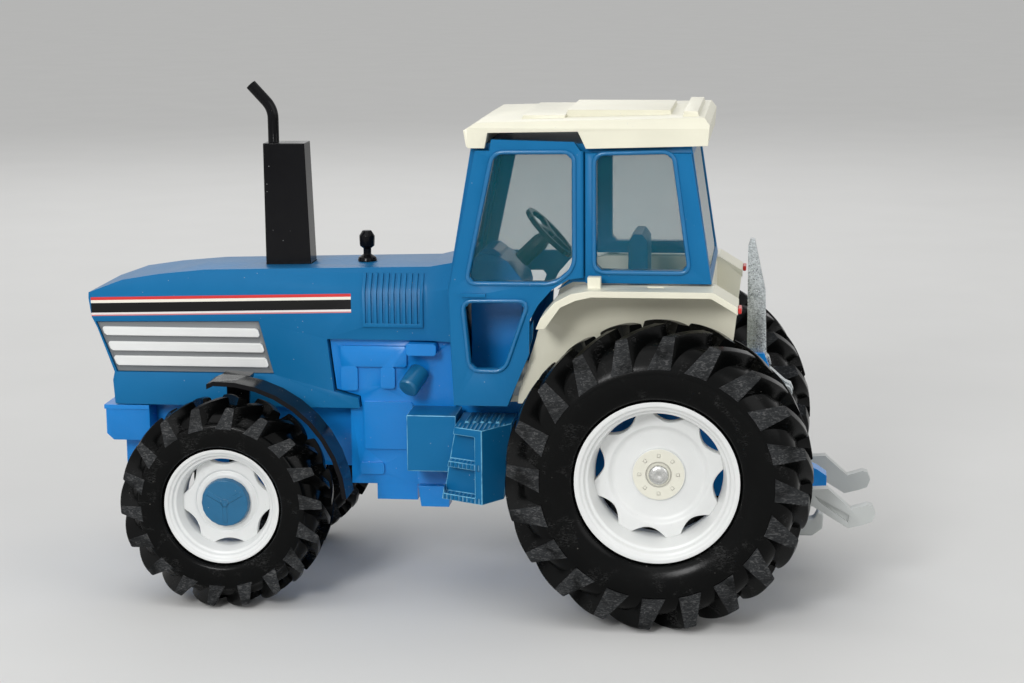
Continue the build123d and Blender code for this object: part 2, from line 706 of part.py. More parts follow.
# Silencer box and bent tail pipe
pipe_radius = 1.15
pipe_x = 79.0
box_top_z = bonnet_top_z + 24.0
with BuildPart() as exhaust:
    add(
        slab(
            [(exhaust_foot_x, exhaust_seat_z), (exhaust_front_x, exhaust_seat_z),
            (exhaust_front_x, box_top_z),
             (exhaust_head_x, box_top_z)],
            -exhaust_half, exhaust_half,
        )
    )
    with BuildLine(side_plane()) as tail:
        FilletPolyline(
            (pipe_x, box_top_z), (pipe_x, box_top_z + 6.7), (pipe_x + 4.4, box_top_z + 11.5), radius=5.0
        )
    with BuildSketch(Plane(origin=tail.line @ 0, z_dir=tail.line % 0)):
        RegularPolygon(pipe_radius, 10)
    sweep(path=tail.line)
    with BuildSketch(Plane(origin=tail.line @ 1, z_dir=tail.line % 1)):
        RegularPolygon(pipe_radius - 0.35, 10)
    extrude(amount=-1.5, mode=Mode.SUBTRACT)

pre_cleaner_x = 60.4
pre_cleaner_rings = (       # height above the crease, and radius
    (0.2, 2.0), (0.9, 1.8), (1.5, 0.8), (2.7, 0.8), (3.2, 1.5), (5.2, 1.6), (6.3, 0.9),
)
with BuildPart() as pre_cleaner:
    add(column(pre_cleaner_x, 0, 12, [(bonnet_top_z + rise, radius) for rise, radius in pre_cleaner_rings]))

# ---------------------------------------------------------------------------------------------
# Cab: frame, doors, glass, roof and what is inside
# ---------------------------------------------------------------------------------------------

arch = fender_front_x       # the cab's lower rear edges follow the fender's arch
waist_z = cab_sill_z - 2.2  # where the windscreen pillar starts to lean
window_top_z = cab_top_z - 2.2
window_corner = 1.0
door_y = cab_half_width + 0.2
hinge_radius = door_thick / 2
hinge_x = door_rear_x + hinge_radius
hinge_y = door_y + hinge_radius
hinge_base_z, hinge_top_z = cab_sill_z + 1.0, cab_top_z - 1.3

cab_outline = [
    (cab_front_x - 1.0, cab_floor_z), (cab_front_x, waist_z), (cab_front_top_x, cab_top_z),
    (cab_rear_top_x, cab_top_z), (cab_rear_x, cab_sill_z), (arch - 6.3, cab_sill_z),
    (arch - 2.7, cab_sill_z - 1.9),
    (arch - 0.1, cab_sill_z - 4.8), (arch + 1.3, cab_sill_z - 7.6), (arch + 1.5, cab_sill_z - 11.2),
    (arch + 6.1, cab_floor_z),
]
cab_cavity = [
    (cab_front_x - 1.0 - cab_wall, cab_floor_z - 1), (cab_front_x - cab_wall, waist_z),
    (cab_front_top_x - cab_wall, cab_top_z - cab_wall), (cab_rear_top_x + cab_wall, cab_top_z - cab_wall),
    (cab_rear_x + cab_wall, cab_sill_z), (cab_rear_x + cab_wall, cab_sill_z - 1),
    (arch - 6.3, cab_sill_z - 1),
    (arch - 3.3, cab_sill_z - 3.2), (arch + 0.1, cab_sill_z - 11.2), (arch + 4.9, cab_floor_z - 1),
]
side_window = [
    (door_rear_x - 2.4, window_top_z), (-1.7, window_top_z + 0.4), (-4.8, cab_sill_z + 2.5),
    (door_rear_x - 2.4, cab_sill_z + 2.5),
]
door_window = [
    (31.7, window_top_z + 0.2), (door_rear_x + 2.2, window_top_z + 0.3),
    (door_rear_x + 2.2, cab_sill_z + 3.1),
    (door_rear_x + 5.6, cab_sill_z + 0.2), (36.9, cab_sill_z + 0.1),
]
foot_window = [
    (37.7, cab_sill_z - 4.1), (arch + 2.6, cab_sill_z - 4.0), (arch + 7.1, cab_floor_z + 7.3),
    (36.5, cab_floor_z + 7.3),
]
door_way = [
    (39.0, cab_floor_z + 1.4), (39.4, waist_z), (34.6, cab_top_z - 1.6), (door_rear_x + 1.6, cab_top_z - 1.6),
    (door_rear_x + 1.6, cab_sill_z + 1.4), (arch - 2.3, cab_sill_z - 2.4), (arch + 2.5, cab_sill_z - 9.4),
    (arch + 7.1, cab_floor_z + 1.4),
]
rear_panel = [
    (door_rear_x - moving_gap, cab_top_z - 1.7), (cab_rear_top_x, cab_top_z - 1.7), (cab_rear_x, cab_sill_z),
    (door_rear_x - moving_gap, cab_sill_z),
]


def cross_view(half, low, high):
    """Corners of an opening across the cab, seen from the front."""
    return [(-half, low), (half, low), (half, high), (-half, high)]


windscreen_view = cross_view(cab_half_width - 3.0, cab_sill_z + 2.4, window_top_z)
rear_view = cross_view(cab_half_width - 1.8, cab_sill_z + 1.8, window_top_z)

with BuildPart() as cab_frame:
    add(slab(cab_outline, -cab_half_width, cab_half_width))
    add(slab(cab_cavity, cab_wall - cab_half_width, cab_half_width - cab_wall), mode=Mode.SUBTRACT)
    for side in (-1, 1):
        inner, outer = side * (cab_half_width - 3), side * (cab_half_width + 2)
        add(slab(door_way, inner, side * (cab_half_width + 1)), mode=Mode.SUBTRACT)
        add(slab(rear_panel, side * cab_half_width, side * (cab_half_width + door_thick)))
        add(slab(side_window, inner, outer, window_corner), mode=Mode.SUBTRACT)
    add(cross_slab(windscreen_view, cab_front_top_x - 5, cab_front_x + 2, window_corner), mode=Mode.SUBTRACT)
    add(cross_slab(rear_view, cab_rear_x - 2, cab_rear_top_x + 2, window_corner), mode=Mode.SUBTRACT)

# The door's rear edge is rounded about its hinge line.
door_outline = [
    (35.4, hinge_top_z), (32.6, hinge_top_z), (32.3, cab_top_z + 0.8), (door_rear_x + 1.8, cab_top_z + 0.4),
    (hinge_x, hinge_top_z), (hinge_x, hinge_base_z), (arch - 5.5, cab_sill_z + 0.6),
    (arch - 2.3, cab_sill_z - 1.4),
    (arch + 0.3, cab_sill_z - 4.4), (arch + 1.9, cab_sill_z - 7.4), (arch + 2.0, cab_sill_z - 13.9),
    (arch + 6.3, cab_floor_z), (cab_front_x - 1.2, cab_floor_z), (cab_front_x - 0.5, cab_sill_z - 2.0),
]
handle_z = cab_sill_z - 2.9
with BuildPart() as door:
    add(slab(door_outline, door_y, door_y + door_thick))
    add(post(hinge_x, hinge_y, hinge_radius, hinge_base_z, hinge_top_z))
    for window in (door_window, foot_window):
        add(slab(window, door_y - 1, door_y + 3, window_corner), mode=Mode.SUBTRACT)
    add(block(33.6, 38.2, door_y + door_thick, door_y + door_thick + 0.5, handle_z, handle_z + 0.7))


def pane(points, y):
    """Flat side glass with a small gap to its frame all round."""
    with BuildPart() as sheet:
        with BuildSketch(side_plane(y)) as outline:
            Polygon(*points, align=None)
            chamfer(outline.vertices(), window_corner)
            offset(amount=-seat_gap, mode=Mode.REPLACE, kind=Kind.INTERSECTION)
        extrude(amount=-glass)
    return sheet.part


def leaning_pane(foot, head, inward, view, x_from, x_to):
    """Glass across the cab between two (station, height) points, cut to its opening's view."""
    with BuildPart() as sheet:
        add(
            slab(
                [foot, head, (head[0] + inward * glass, head[1]), (foot[0] + inward * glass, foot[1])],
                -cab_half_width, cab_half_width,
            )
        )
        with BuildSketch(cross_plane(x_from)) as outline:
            Polygon(*view, align=None)
            chamfer(outline.vertices(), window_corner)
            offset(amount=-seat_gap, mode=Mode.REPLACE, kind=Kind.INTERSECTION)
        extrude(amount=x_to - x_from, mode=Mode.INTERSECT)
    return sheet.part


glass_inset = 0.2         # of every pane, from the face that it stands in
with BuildPart() as door_glass:
    add(pane(door_window, door_y + glass_inset))
with BuildPart() as side_glass:
    add(pane(side_window, cab_half_width + glass_inset))
with BuildPart() as windscreen:
    add(
        leaning_pane(
            (cab_front_x - glass_inset, waist_z), (cab_front_top_x - glass_inset, cab_top_z), -1,
            windscreen_view, cab_front_top_x - 5, cab_front_x + 2,
        )
    )
with BuildPart() as rear_window:
    add(
        leaning_pane(
            (cab_rear_x + glass_inset, cab_sill_z), (cab_rear_top_x + glass_inset, cab_top_z), 1,
            rear_view, cab_rear_x - 2, cab_rear_top_x + 5,
        )
    )

# The roof is a shell with a deep visor in front, cut away above the doors.
roof_half_width = cab_half_width + roof_overhang
roof_wall = 1.5
roof_base_z = cab_top_z + 0.05
shoulder_z = cab_top_z + 3.0
with BuildPart() as roof:
    side_view = [
        (37.5, roof_base_z + 2.5), (37.0, cab_top_z - 0.4), (36.6, cab_top_z - 0.8), (33.5, cab_top_z - 0.8),
        (32.9, cab_top_z + 2.1), (door_rear_x + 1.0, cab_top_z + 2.4), (door_rear_x - 0.5, cab_top_z - 0.8),
        (-8.5, cab_top_z - 0.2), (-8.8, cab_top_z + 3.6), (-7.8, cab_top_z + 5.0), (35.0, cab_top_z + 4.0),
    ]
    add(slab(side_view, -roof_half_width, roof_half_width))
    for side in (-1, 1):
        # the shoulders lean in towards the top
        shoulder = [
            (side * roof_half_width, shoulder_z), (side * (roof_half_width - 1.6), shoulder_z + 3),
            (side * (roof_half_width + 1), shoulder_z + 3), (side * (roof_half_width + 1), shoulder_z),
        ]
        add(cross_slab(shoulder, cab_rear_x - 5, cab_front_x), mode=Mode.SUBTRACT)
    add(
        block(
            cab_rear_x - 5, cab_front_x, roof_wall - roof_half_width, roof_half_width - roof_wall,
            cab_floor_z, roof_base_z,
        ),
        mode=Mode.SUBTRACT,
    )
    # hatch, stepped front panel and rear rib: foot and head stations, height and half width
    for foot_rear, head_rear, head_front, foot_front, rise, half in (
        (-1.6, -1.0, 18.6, 19.4, 5.7, 12.0), (18.8, 18.8, 26.8, 27.6, 4.9, 15.0),
        (-7.0, -6.4, -3.8, -3.2, 5.9, 17.0),
    ):
        add(
            slab(
                [(foot_rear, cab_top_z + 3.5), (foot_front, cab_top_z + 3.5), (head_front, cab_top_z + rise),
                 (head_rear, cab_top_z + rise)],
                -half, half,
            )
        )

floor_thick = 1.4
inside_y = fender_wall_y - seat_gap
with BuildPart() as cab_floor:
    add(block(cab_rear_x, cab_front_x - 2.8, -inside_y, inside_y, cab_floor_z, cab_floor_z + floor_thick))
    add(
        block(
            cab_rear_x, cab_rear_x + floor_thick, -inside_y, inside_y, cab_floor_z, cab_sill_z - seat_gap - 1
        )
    )

dash_half = 7.0
dash_x = cab_front_x - 2.8
dash_foot_z = cab_floor_z + floor_thick + seat_gap
with BuildPart() as dash:
    add(
        slab(
            [(dash_x, dash_foot_z), (dash_x, cab_sill_z + 2.2), (dash_x - 3.1, cab_sill_z + 3.3),
             (dash_x - 6.9, cab_sill_z + 2.4), (dash_x - 10.9, cab_sill_z - 2.7),
             (dash_x - 8.4, dash_foot_z)],
            -dash_half, dash_half, 0.8,
        )
    )
    # rounded hood over the instruments
    add(bar(dash_x - 3.6, cab_sill_z + 1.6, 2.7, 1.5 - dash_half, dash_half - 1.5, flats=10))

wheel_x, wheel_z = 23.4, cab_sill_z + 6.7
wheel_lean = radians(46)
steering_radius = 6.4
ring_thick = 1.0
column_rings = ((0.4, 1.0), (2.6, 1.8), (8.0, 1.8))       # below the wheel, and radius
with BuildPart() as steering_wheel:
    wheel_plane = Plane(
        origin=(rear_axle_x + wheel_x, 0, wheel_z),
        x_dir=(0, 1, 0), z_dir=(-sin(wheel_lean), 0, cos(wheel_lean)),
    )
    with BuildSketch(wheel_plane):
        RegularPolygon(steering_radius, 20)
        RegularPolygon(steering_radius - ring_thick, 20, mode=Mode.SUBTRACT)
        for angle in (90, 210, 330):
            with Locations(Rot(0, 0, angle) * Pos(steering_radius / 2, 0)):
                Rectangle(steering_radius - ring_thick, ring_thick)
        RegularPolygon(1.4, 10)
    extrude(amount=ring_thick / 2, both=True)
    for depth, radius in column_rings:
        with BuildSketch(wheel_plane.offset(-depth)):
            RegularPolygon(radius, 10)
    loft(ruled=True)

seat_z = cab_floor_z + 12.0
with BuildPart() as seat:
    add(
        slab(
            [(3.2, seat_z), (15.0, seat_z), (15.4, seat_z + 3.0), (14.4, seat_z + 4.0), (3.2, seat_z + 4.0)],
            -6.5, 6.5,
        )
    )
    add(
        slab(
            [(3.4, seat_z + 3.0), (7.6, seat_z + 3.0), (7.3, cab_sill_z + 5.9), (6.3, cab_sill_z + 7.3),
             (4.7, cab_sill_z + 7.3), (3.6, cab_sill_z + 5.9)],
            -6.0, 6.0,
        )
    )
    add(block(6.0, 13.0, -4.0, 4.0, cab_floor_z + floor_thick, seat_z))

# ---------------------------------------------------------------------------------------------
# Fenders, tail lamps, tank and steps, filter
# ---------------------------------------------------------------------------------------------

fender_slope_z = fender_top_z - 2.8
fender_arch = [
    (arch, fender_top_z - 7.4), (arch - 0.9, fender_top_z - 5.3), (arch - 3.6, fender_top_z - 2.2),
    (arch - 6.6, fender_top_z - 0.6), (arch - 9.7, fender_top_z), (-9.9, fender_top_z),
    (fender_rear_x, fender_slope_z),
]
under_arch = [
    (fender_rear_x, fender_slope_z - 1.4), (-9.5, fender_top_z - fender_sheet),
    (arch - 10.5, fender_top_z - fender_sheet), (arch - 7.5, fender_top_z - 1.9),
    (arch - 4.7, fender_top_z - 3.2), (arch - 1.7, fender_top_z - 7.4),
]
wall_foot = [
    (-12.0, cab_floor_z), (arch + 4.6, cab_floor_z), (arch + 4.4, cab_floor_z + 2.2),
    (arch + 1.1, cab_sill_z - 11.7),
]
tab_y = cab_half_width + 2.9
with BuildPart() as fender:
    add(slab(fender_arch + under_arch, fender_wall_y, rear.middle_y))
    add(slab(fender_arch + wall_foot, fender_wall_y, fender_wall_y + fender_sheet))
    # tab on top beside the cab, and a shallow notch behind it
    add(block(arch - 12.0, arch - 9.5, tab_y, tab_y + 2.0, fender_top_z - 0.5, fender_top_z + 2.1))
    add(block(-0.5, 2.7, tab_y - 1.0, tab_y + 0.6, fender_top_z - 0.5, fender_top_z + 1), mode=Mode.SUBTRACT)

with BuildPart() as tail_lamp:
    add(
        block(
            fender_rear_x - 0.7, fender_rear_x, rear.middle_y - 4.3, rear.middle_y - 0.2,
            fender_slope_z - 1.2, fender_slope_z - 0.1,
        )
    )

tank_top_z = cab_floor_z - 2.6
tank_base_z = engine_base_z + 5.0
tank_y = 19.0
step_top_z = cab_floor_z - 3.8
step_base_z = engine_base_z + 0.3
step_rear_x = rear.radius
step_lean = 2.8           # forward, from the top to the foot
with BuildPart() as tank_step:
    inner_y = engine_half + seat_gap
    add(
        slab(
            [(49.7, tank_top_z), (49.7, tank_base_z), (40.0, tank_base_z), (40.0, tank_top_z)],
            inner_y, tank_y,
        )
    )
    # step block: a wedge seen from above, leaning forward seen from the side
    add(
        plate(
            [(step_rear_x + 14, inner_y), (step_rear_x + 14, 21.4), (step_rear_x + 5.0, 26.0),
            (step_rear_x, tank_y),
             (step_rear_x, inner_y)],
            step_base_z, step_top_z,
        )
    )
    front_cut = [
        (step_rear_x + 10.7, step_top_z), (step_rear_x + 10.7 + step_lean, step_base_z),
        (step_rear_x + 15, step_base_z), (step_rear_x + 15, step_top_z),
    ]
    rear_cut = [
        (step_rear_x, step_top_z), (step_rear_x + step_lean / 2, step_base_z), (step_rear_x - 1, step_base_z),
        (step_rear_x - 1, step_top_z),
    ]
    for corners in (front_cut, rear_cut):
        # clear of the tank, only what lies outside it is cut
        add(slab(corners, inner_y - 1, 30), mode=Mode.SUBTRACT)
    add(block(40.0, 49.7, inner_y, tank_y, tank_base_z, tank_top_z))
    # two treads let into the outer face, and ribs on top
    for tread_z in (step_base_z + 1.2, step_base_z + 7.8):
        add(
            plate(
                [(step_rear_x + 13, 22.6), (step_rear_x + 13, 19.5), (step_rear_x + 6.5, 22.6),
                 (step_rear_x + 6.5, 27.0), (step_rear_x + 13, 27.0)],
                tread_z, tread_z + 5.4,
            ),
            mode=Mode.SUBTRACT,
        )
    for rib in range(5):
        rib_x = step_rear_x + 2.4 + rib * 1.5
        add(block(rib_x, rib_x + 0.7, inner_y + 1.0, tank_y + 0.2, step_top_z, step_top_z + 0.3))

filter_radius = 2.1
with BuildPart() as oil_filter:
    for along, radius in ((0.0, filter_radius - 0.2), (0.5, filter_radius), (5.1, filter_radius)):
        with BuildSketch(
            Plane(origin=(rear_axle_x + 50.0, 15.4, bonnet_base_z + 4.9), z_dir=(-2.4, -5, 3.6)).offset(along)
        ):
            RegularPolygon(radius, 14)
    loft(ruled=True)

# ---------------------------------------------------------------------------------------------
# Lift lever, link, yoke and tow hook
# ---------------------------------------------------------------------------------------------

link_y = cheek_out + moving_gap
link_thick = 1.2
link_eye = 1.5            # radius of both eyes; the bar between them is narrower
link_bar_half = 0.75
link_top = (lever_x + horn_x, lever_z + horn_z)
link_foot = (yoke_x + horn_x, yoke_z + horn_z)

with BuildPart() as lift_lever:
    add(bar(lever_x, lever_z, 3.0, -lever_half, lever_half, flats=12))
    add(
        slab(
            [(lever_x + 1.8, lever_z - 1.0), (lever_x + 1.8, lever_z + 23.6), (lever_x + 1.3, lever_z + 25.1),
             (lever_x + 0.5, lever_z + 25.0), (lever_x - 1.7, lever_z + 14.8),
             (lever_x - 2.1, lever_z - 1.0)],
            -lever_half, lever_half,
        )
    )
    add(
        slab(
            [(lever_x, lever_z + 1.8), (link_top[0], link_top[1] + 1.6),
            (link_top[0] - 0.6, link_top[1] - 1.2),
             (lever_x, lever_z - 2.6)],
            -lever_half, lever_half,
        )
    )
    add(bar(*link_top, 1.6, -lever_half, lever_half, flats=8))
    add(bar(*link_top, link_pin_radius, 0, link_y + link_thick + 0.4, flats=12))
    add(
        bar(lever_x, lever_z, lever_pin_radius + running_gap, -lever_half, lever_half, flats=12, bore=True),
        mode=Mode.SUBTRACT,
    )

link_length = Vector(link_top[0] - link_foot[0], link_top[1] - link_foot[1]).length
link_turn = degrees(atan2(link_top[1] - link_foot[1], link_top[0] - link_foot[0]))
with BuildPart() as lift_link:
    with BuildSketch(side_plane(link_y)):
        with Locations(((link_top[0] + link_foot[0]) / 2, (link_top[1] + link_foot[1]) / 2)):
            Rectangle(link_length, 2 * link_bar_half, rotation=link_turn)
        with Locations(link_top, link_foot):
            RegularPolygon(link_eye, 12)
            RegularPolygon(link_pin_radius + running_gap, 12, major_radius=False, mode=Mode.SUBTRACT)
    extrude(amount=-link_thick)

# The yoke's arms have a groove along their outer faces and paddle ends that grip an implement.
arm_half = 1.3
ear_y = link_y + link_thick + moving_gap
ear_thick = 1.4
with BuildPart() as lift_yoke:
    add(bar(yoke_x, yoke_z, yoke_radius, -arm_y, arm_y))
    for side in (-1, 1):
        arm = [
            (yoke_x + 2.0, yoke_z + 1.4), (-28.9, yoke_z + 1.2), (-32.0, yoke_z + 1.4), (-36.5, yoke_z - 2.6),
            (-39.6, yoke_z - 1.6), (-40.6, yoke_z - 1.9), (arm_end_x, yoke_z - 3.4), (-40.6, yoke_z - 5.0),
            (-39.0, yoke_z - 5.6), (-36.0, yoke_z - 6.4), (-29.2, yoke_z - 2.2), (yoke_x + 2.0, yoke_z - 1.6),
        ]
        add(slab(arm, side * (arm_y - arm_half), side * (arm_y + arm_half)))
        groove = [(-29.6, yoke_z - 0.1), (-30.4, yoke_z - 1.3), (-36.0, yoke_z - 5.2), (-36.2, yoke_z - 3.8)]
        add(slab(groove, side * (arm_y + arm_half - 0.5), side * (arm_y + arm_half)), mode=Mode.SUBTRACT)
    # ear that the link pulls
    add(
        slab(
            [(yoke_x + 1.4, yoke_z + 1.2), (yoke_x - 1.2, yoke_z + 1.4), (link_foot[0] - 1.3, link_foot[1]),
             (link_foot[0] - 0.8, link_foot[1] - 1.2), (link_foot[0] + 0.9, link_foot[1] - 1.2)],
            ear_y, ear_y + ear_thick,
        )
    )
    add(bar(*link_foot, link_pin_radius, link_y - 0.2, ear_y, flats=12))

hook_top_z = housing_base_z - 0.05
with BuildPart() as tow_hook:
    add(
        slab(
            [(-12.0, hook_top_z), (-16.4, hook_top_z), (-19.0, hook_top_z - 1.0), (-21.6, hook_top_z - 4.4),
             (-27.6, hook_top_z - 6.4), (-29.6, hook_top_z - 6.2), (-30.4, hook_top_z - 4.6),
             (-31.6, hook_top_z - 5.4),
             (-31.4, hook_top_z - 8.2), (-29.4, hook_top_z - 9.8), (-26.4, hook_top_z - 9.8),
             (-19.6, hook_top_z - 7.4), (-16.2, hook_top_z - 3.4), (-12.0, hook_top_z - 3.4)],
            -1.6, 1.6,
        )
    )

# ---------------------------------------------------------------------------------------------
# Writing the pieces
# ---------------------------------------------------------------------------------------------

single_pieces = {
    "rear_axle": rear_axle, "front_axle": front_axle, "track_rod": track_rod, "chassis": chassis,
    "bonnet": bonnet, "front_grille": front_grille, "exhaust": exhaust, "pre_cleaner": pre_cleaner,
    "cab_frame": cab_frame, "windscreen": windscreen, "rear_window": rear_window, "roof": roof,
    "cab_floor": cab_floor, "dash": dash, "steering_wheel": steering_wheel, "seat": seat,
    "oil_filter": oil_filter, "lift_lever": lift_lever, "lift_link": lift_link, "lift_yoke": lift_yoke,
    "tow_hook": tow_hook,
}
for name, piece in single_pieces.items():
    piece.part.label = name
    export_step(piece.part, f"parts/{name}.step")

left_pieces = {
    "rear_tyre": rear_tyre, "rear_rim": rear_rim, "front_tyre": front_tyre, "front_rim": front_rim,
    "knuckle": knuckle, "front_hub": front_hub, "front_mudguard": front_mudguard,
    "side_grille": side_grille, "door": door, "door_glass": door_glass, "side_glass": side_glass,
    "fender": fender, "tail_lamp": tail_lamp, "tank_step": tank_step,
}
for name, piece in left_pieces.items():
    piece.part.label = f"{name}_left"
    export_step(piece.part, f"parts/{name}_left.step")
    with BuildPart() as twin:
        mirror(piece.part, about=Plane.XZ)
    twin.part.label = f"{name}_right"
    export_step(twin.part, f"parts/{name}_right.step")
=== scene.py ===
# %% [markdown]
# # A toy farm tractor, dressed
#
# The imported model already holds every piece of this 1:32 die-cast and plastic tractor at its
# real size. This lesson gives it the look of the real toy: enamel and moulded plastic with
# softened edges, rubber tyres with swept lugs, clear glazing with raised beads, and a zinc
# lever. Nothing is moved or resized. Everything is in metres, with +X forward, +Y to the
# driver's left and +Z up.

import json
import math

import bmesh
import bpy
import numpy as np
from mathutils import Matrix, Vector


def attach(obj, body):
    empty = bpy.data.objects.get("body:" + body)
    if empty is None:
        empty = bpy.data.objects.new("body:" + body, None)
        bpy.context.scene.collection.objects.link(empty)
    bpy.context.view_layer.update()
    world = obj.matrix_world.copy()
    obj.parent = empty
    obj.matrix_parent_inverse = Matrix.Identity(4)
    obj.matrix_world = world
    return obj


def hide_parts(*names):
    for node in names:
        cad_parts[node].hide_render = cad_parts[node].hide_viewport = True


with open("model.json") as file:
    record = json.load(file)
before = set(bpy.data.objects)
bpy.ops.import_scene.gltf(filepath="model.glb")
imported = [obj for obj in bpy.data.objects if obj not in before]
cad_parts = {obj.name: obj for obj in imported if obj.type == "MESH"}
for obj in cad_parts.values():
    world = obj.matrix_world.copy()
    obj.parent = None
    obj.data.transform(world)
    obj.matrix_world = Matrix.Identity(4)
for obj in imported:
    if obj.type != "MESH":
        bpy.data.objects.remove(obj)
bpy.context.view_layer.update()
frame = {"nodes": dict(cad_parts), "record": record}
nodes = frame["nodes"]
record = frame["record"]
body_of = {node: body for body, members in record["behaviour"]["bodies"].items() for node in members}
MM = 0.001

# %% [markdown]
# ## The camera
#
# A long lens from a little above, level with the toy's left flank, shows it nearly in side
# view. The camera's axes are worked out from a pan, a tilt and a small roll, because three
# angles say more to a reader than a matrix does.

# %% Camera
CAMERA_PLACE = Vector((-58.7, 428.2, 131.6)) * MM
CAMERA_PAN, CAMERA_TILT, CAMERA_ROLL = math.radians(7.04), math.radians(10.88), math.radians(-0.46)
CAMERA_LENS = 76.7            # millimetres, on a sensor 36 mm wide

ahead = Vector((
    math.sin(CAMERA_PAN) * math.cos(CAMERA_TILT),
    -math.cos(CAMERA_PAN) * math.cos(CAMERA_TILT),
    -math.sin(CAMERA_TILT),
))
level_right = ahead.cross(Vector((0, 0, 1))).normalized()
level_up = level_right.cross(ahead)
right = math.cos(CAMERA_ROLL) * level_right + math.sin(CAMERA_ROLL) * level_up
up = -math.sin(CAMERA_ROLL) * level_right + math.cos(CAMERA_ROLL) * level_up
camera_data = bpy.data.cameras.new("camera")
camera_data.lens = CAMERA_LENS
camera_data.sensor_width = 36.0
camera_data.clip_start = 0.01
camera = bpy.data.objects.new("camera", camera_data)
axes = Matrix((right, up, -ahead)).transposed()
camera.matrix_world = Matrix.Translation(CAMERA_PLACE) @ axes.to_4x4()
bpy.context.scene.collection.objects.link(camera)
bpy.context.scene.camera = camera
bpy.context.scene.view_settings.view_transform = "Standard"
print("camera with a lens of", CAMERA_LENS, "mm")

# %% [markdown]
# ## Shader sums
#
# A procedural finish is mostly arithmetic on noise, so a socket is wrapped in a small class
# whose operators add Math nodes. `1 - mask` then reads as it would on paper. Every other kind
# of node comes from one method, which sets the node's settings first and its sockets second.


# %% Sockets that add up
class Wire:
    """The output of a shader node, usable in sums."""

    def __init__(self, finish, socket):
        self.finish = finish
        self.socket = socket

    def math(self, operation, *values, clamp=False):
        """A Math node on this output and the values given."""
        inputs = dict(enumerate((self,) + values))
        return self.finish.node("ShaderNodeMath", {"operation": operation, "use_clamp": clamp}, inputs)

    def __add__(self, other):
        return self.math("ADD", other)

    def __sub__(self, other):
        return self.math("SUBTRACT", other)

    def __mul__(self, other):
        return self.math("MULTIPLY", other)

    def __truediv__(self, other):
        return self.math("DIVIDE", other)

    def __rsub__(self, other):
        return (self * -1.0) + other

    __radd__ = __add__
    __rmul__ = __mul__

    def above(self, edge, blur):
        """0 below the edge, 1 above it, with a ramp as wide as blur between."""
        return ((self - edge) / blur).math("ADD", 0.5, clamp=True)

    def within(self, low, high, blur):
        """1 between two edges and 0 outside them."""
        return self.above(low, blur) * (1 - self.above(high, blur))


class Finish:
    """A material made of one Principled shader and the nodes that feed it."""

    def __init__(self, name, colour, roughness, **constants):
        self.material = bpy.data.materials.new(name)
        self.material.use_nodes = True
        self.tree = self.material.node_tree
        self.tree.nodes.clear()
        self.shader = self.tree.nodes.new("ShaderNodeBsdfPrincipled")
        output = self.tree.nodes.new("ShaderNodeOutputMaterial")
        self.tree.links.new(self.shader.outputs[0], output.inputs[0])
        self.set("Base Color", (*colour, 1.0))
        self.set("Roughness", roughness)
        for socket, value in constants.items():
            self.set(socket.replace("_", " ").title().replace("Ior", "IOR"), value)
        self.place = self.node("ShaderNodeTexCoord", output="Object")
        self.x, self.y, self.z = (
            self.node("ShaderNodeSeparateXYZ", {}, {0: self.place}, output=axis) / MM for axis in "XYZ"
        )

    def node(self, kind, settings=None, inputs=None, output=0):
        """Any node: its settings, then its sockets, and the output that is wanted."""
        made = self.tree.nodes.new(kind)
        for key, value in (settings or {}).items():
            setattr(made, key, value)
        for key, value in (inputs or {}).items():
            self.feed(made.inputs[key], value)
        return Wire(self, made.outputs[output])

    def feed(self, socket, value):
        """Links a wire to a socket, or sets the socket's own value."""
        if isinstance(value, Wire):
            self.tree.links.new(value.socket, socket)
        else:
            socket.default_value = value

    def set(self, socket, value):
        """Feeds one socket of the Principled shader."""
        self.feed(self.shader.inputs[socket], value)

    def mix(self, first, second, share):
        """One colour turning into another by a share."""
        first = first if isinstance(first, Wire) else (*first, 1.0)
        second = second if isinstance(second, Wire) else (*second, 1.0)
        return self.node(
            "ShaderNodeMix", {"data_type": "RGBA"}, {0: share, 6: first, 7: second}, output=2
        )

    def noise(self, size, detail=2.0, distortion=0.0, stretch=(1, 1, 1)):
        """Cloudy noise whose blotches are about size millimetres across."""
        place = self.node(
            "ShaderNodeMapping", {}, {0: self.place, 3: tuple(1 / (size * MM * s) for s in stretch)}
        )
        inputs = {"Vector": place, "Scale": 1.0, "Detail": detail, "Distortion": distortion}
        return self.node("ShaderNodeTexNoise", {}, inputs, output="Fac")

    def cells(self, size, output="Distance"):
        """Voronoi cells about size millimetres across."""
        inputs = {"Vector": self.place, "Scale": 1 / (size * MM)}
        return self.node("ShaderNodeTexVoronoi", {"feature": "F1"}, inputs, output)

    def specks(self, size, share):
        """Small round specks: a share of the cells holds one."""
        near = 1 - self.cells(size).above(0.16, 0.08)
        lucky = self.node(
            "ShaderNodeSeparateColor", {}, {0: self.cells(size, output="Color")}, output=0
        ).above(1 - share, 0.01)
        return near * lucky

    def relief(self, height, depth):
        """Bump from a height between 0 and 1, depth millimetres high."""
        inputs = {"Height": height, "Distance": depth * MM, "Strength": 1.0}
        self.set("Normal", self.node("ShaderNodeBump", {}, inputs, output="Normal"))


# %% [markdown]
# ## Finishes
#
# The bonnet, cab and doors are enamelled metal in a slightly greenish blue. The chassis and
# the dashboard are bare plastic, moulded in a brighter blue. Each finish varies a little in
# colour and gloss at two sizes: broad clouds from handling, and a fine grain from the mould or
# the spray. Dust settles as small pale specks. The specular level of the dark finishes is low,
# so that the pale room they stand in doesn't wash their colour out.


# %% Enamel and moulded plastic
DUST_GREY = (0.55, 0.56, 0.54)
GRAIN, DUST_SIZE = 0.35, 0.5                 # millimetres


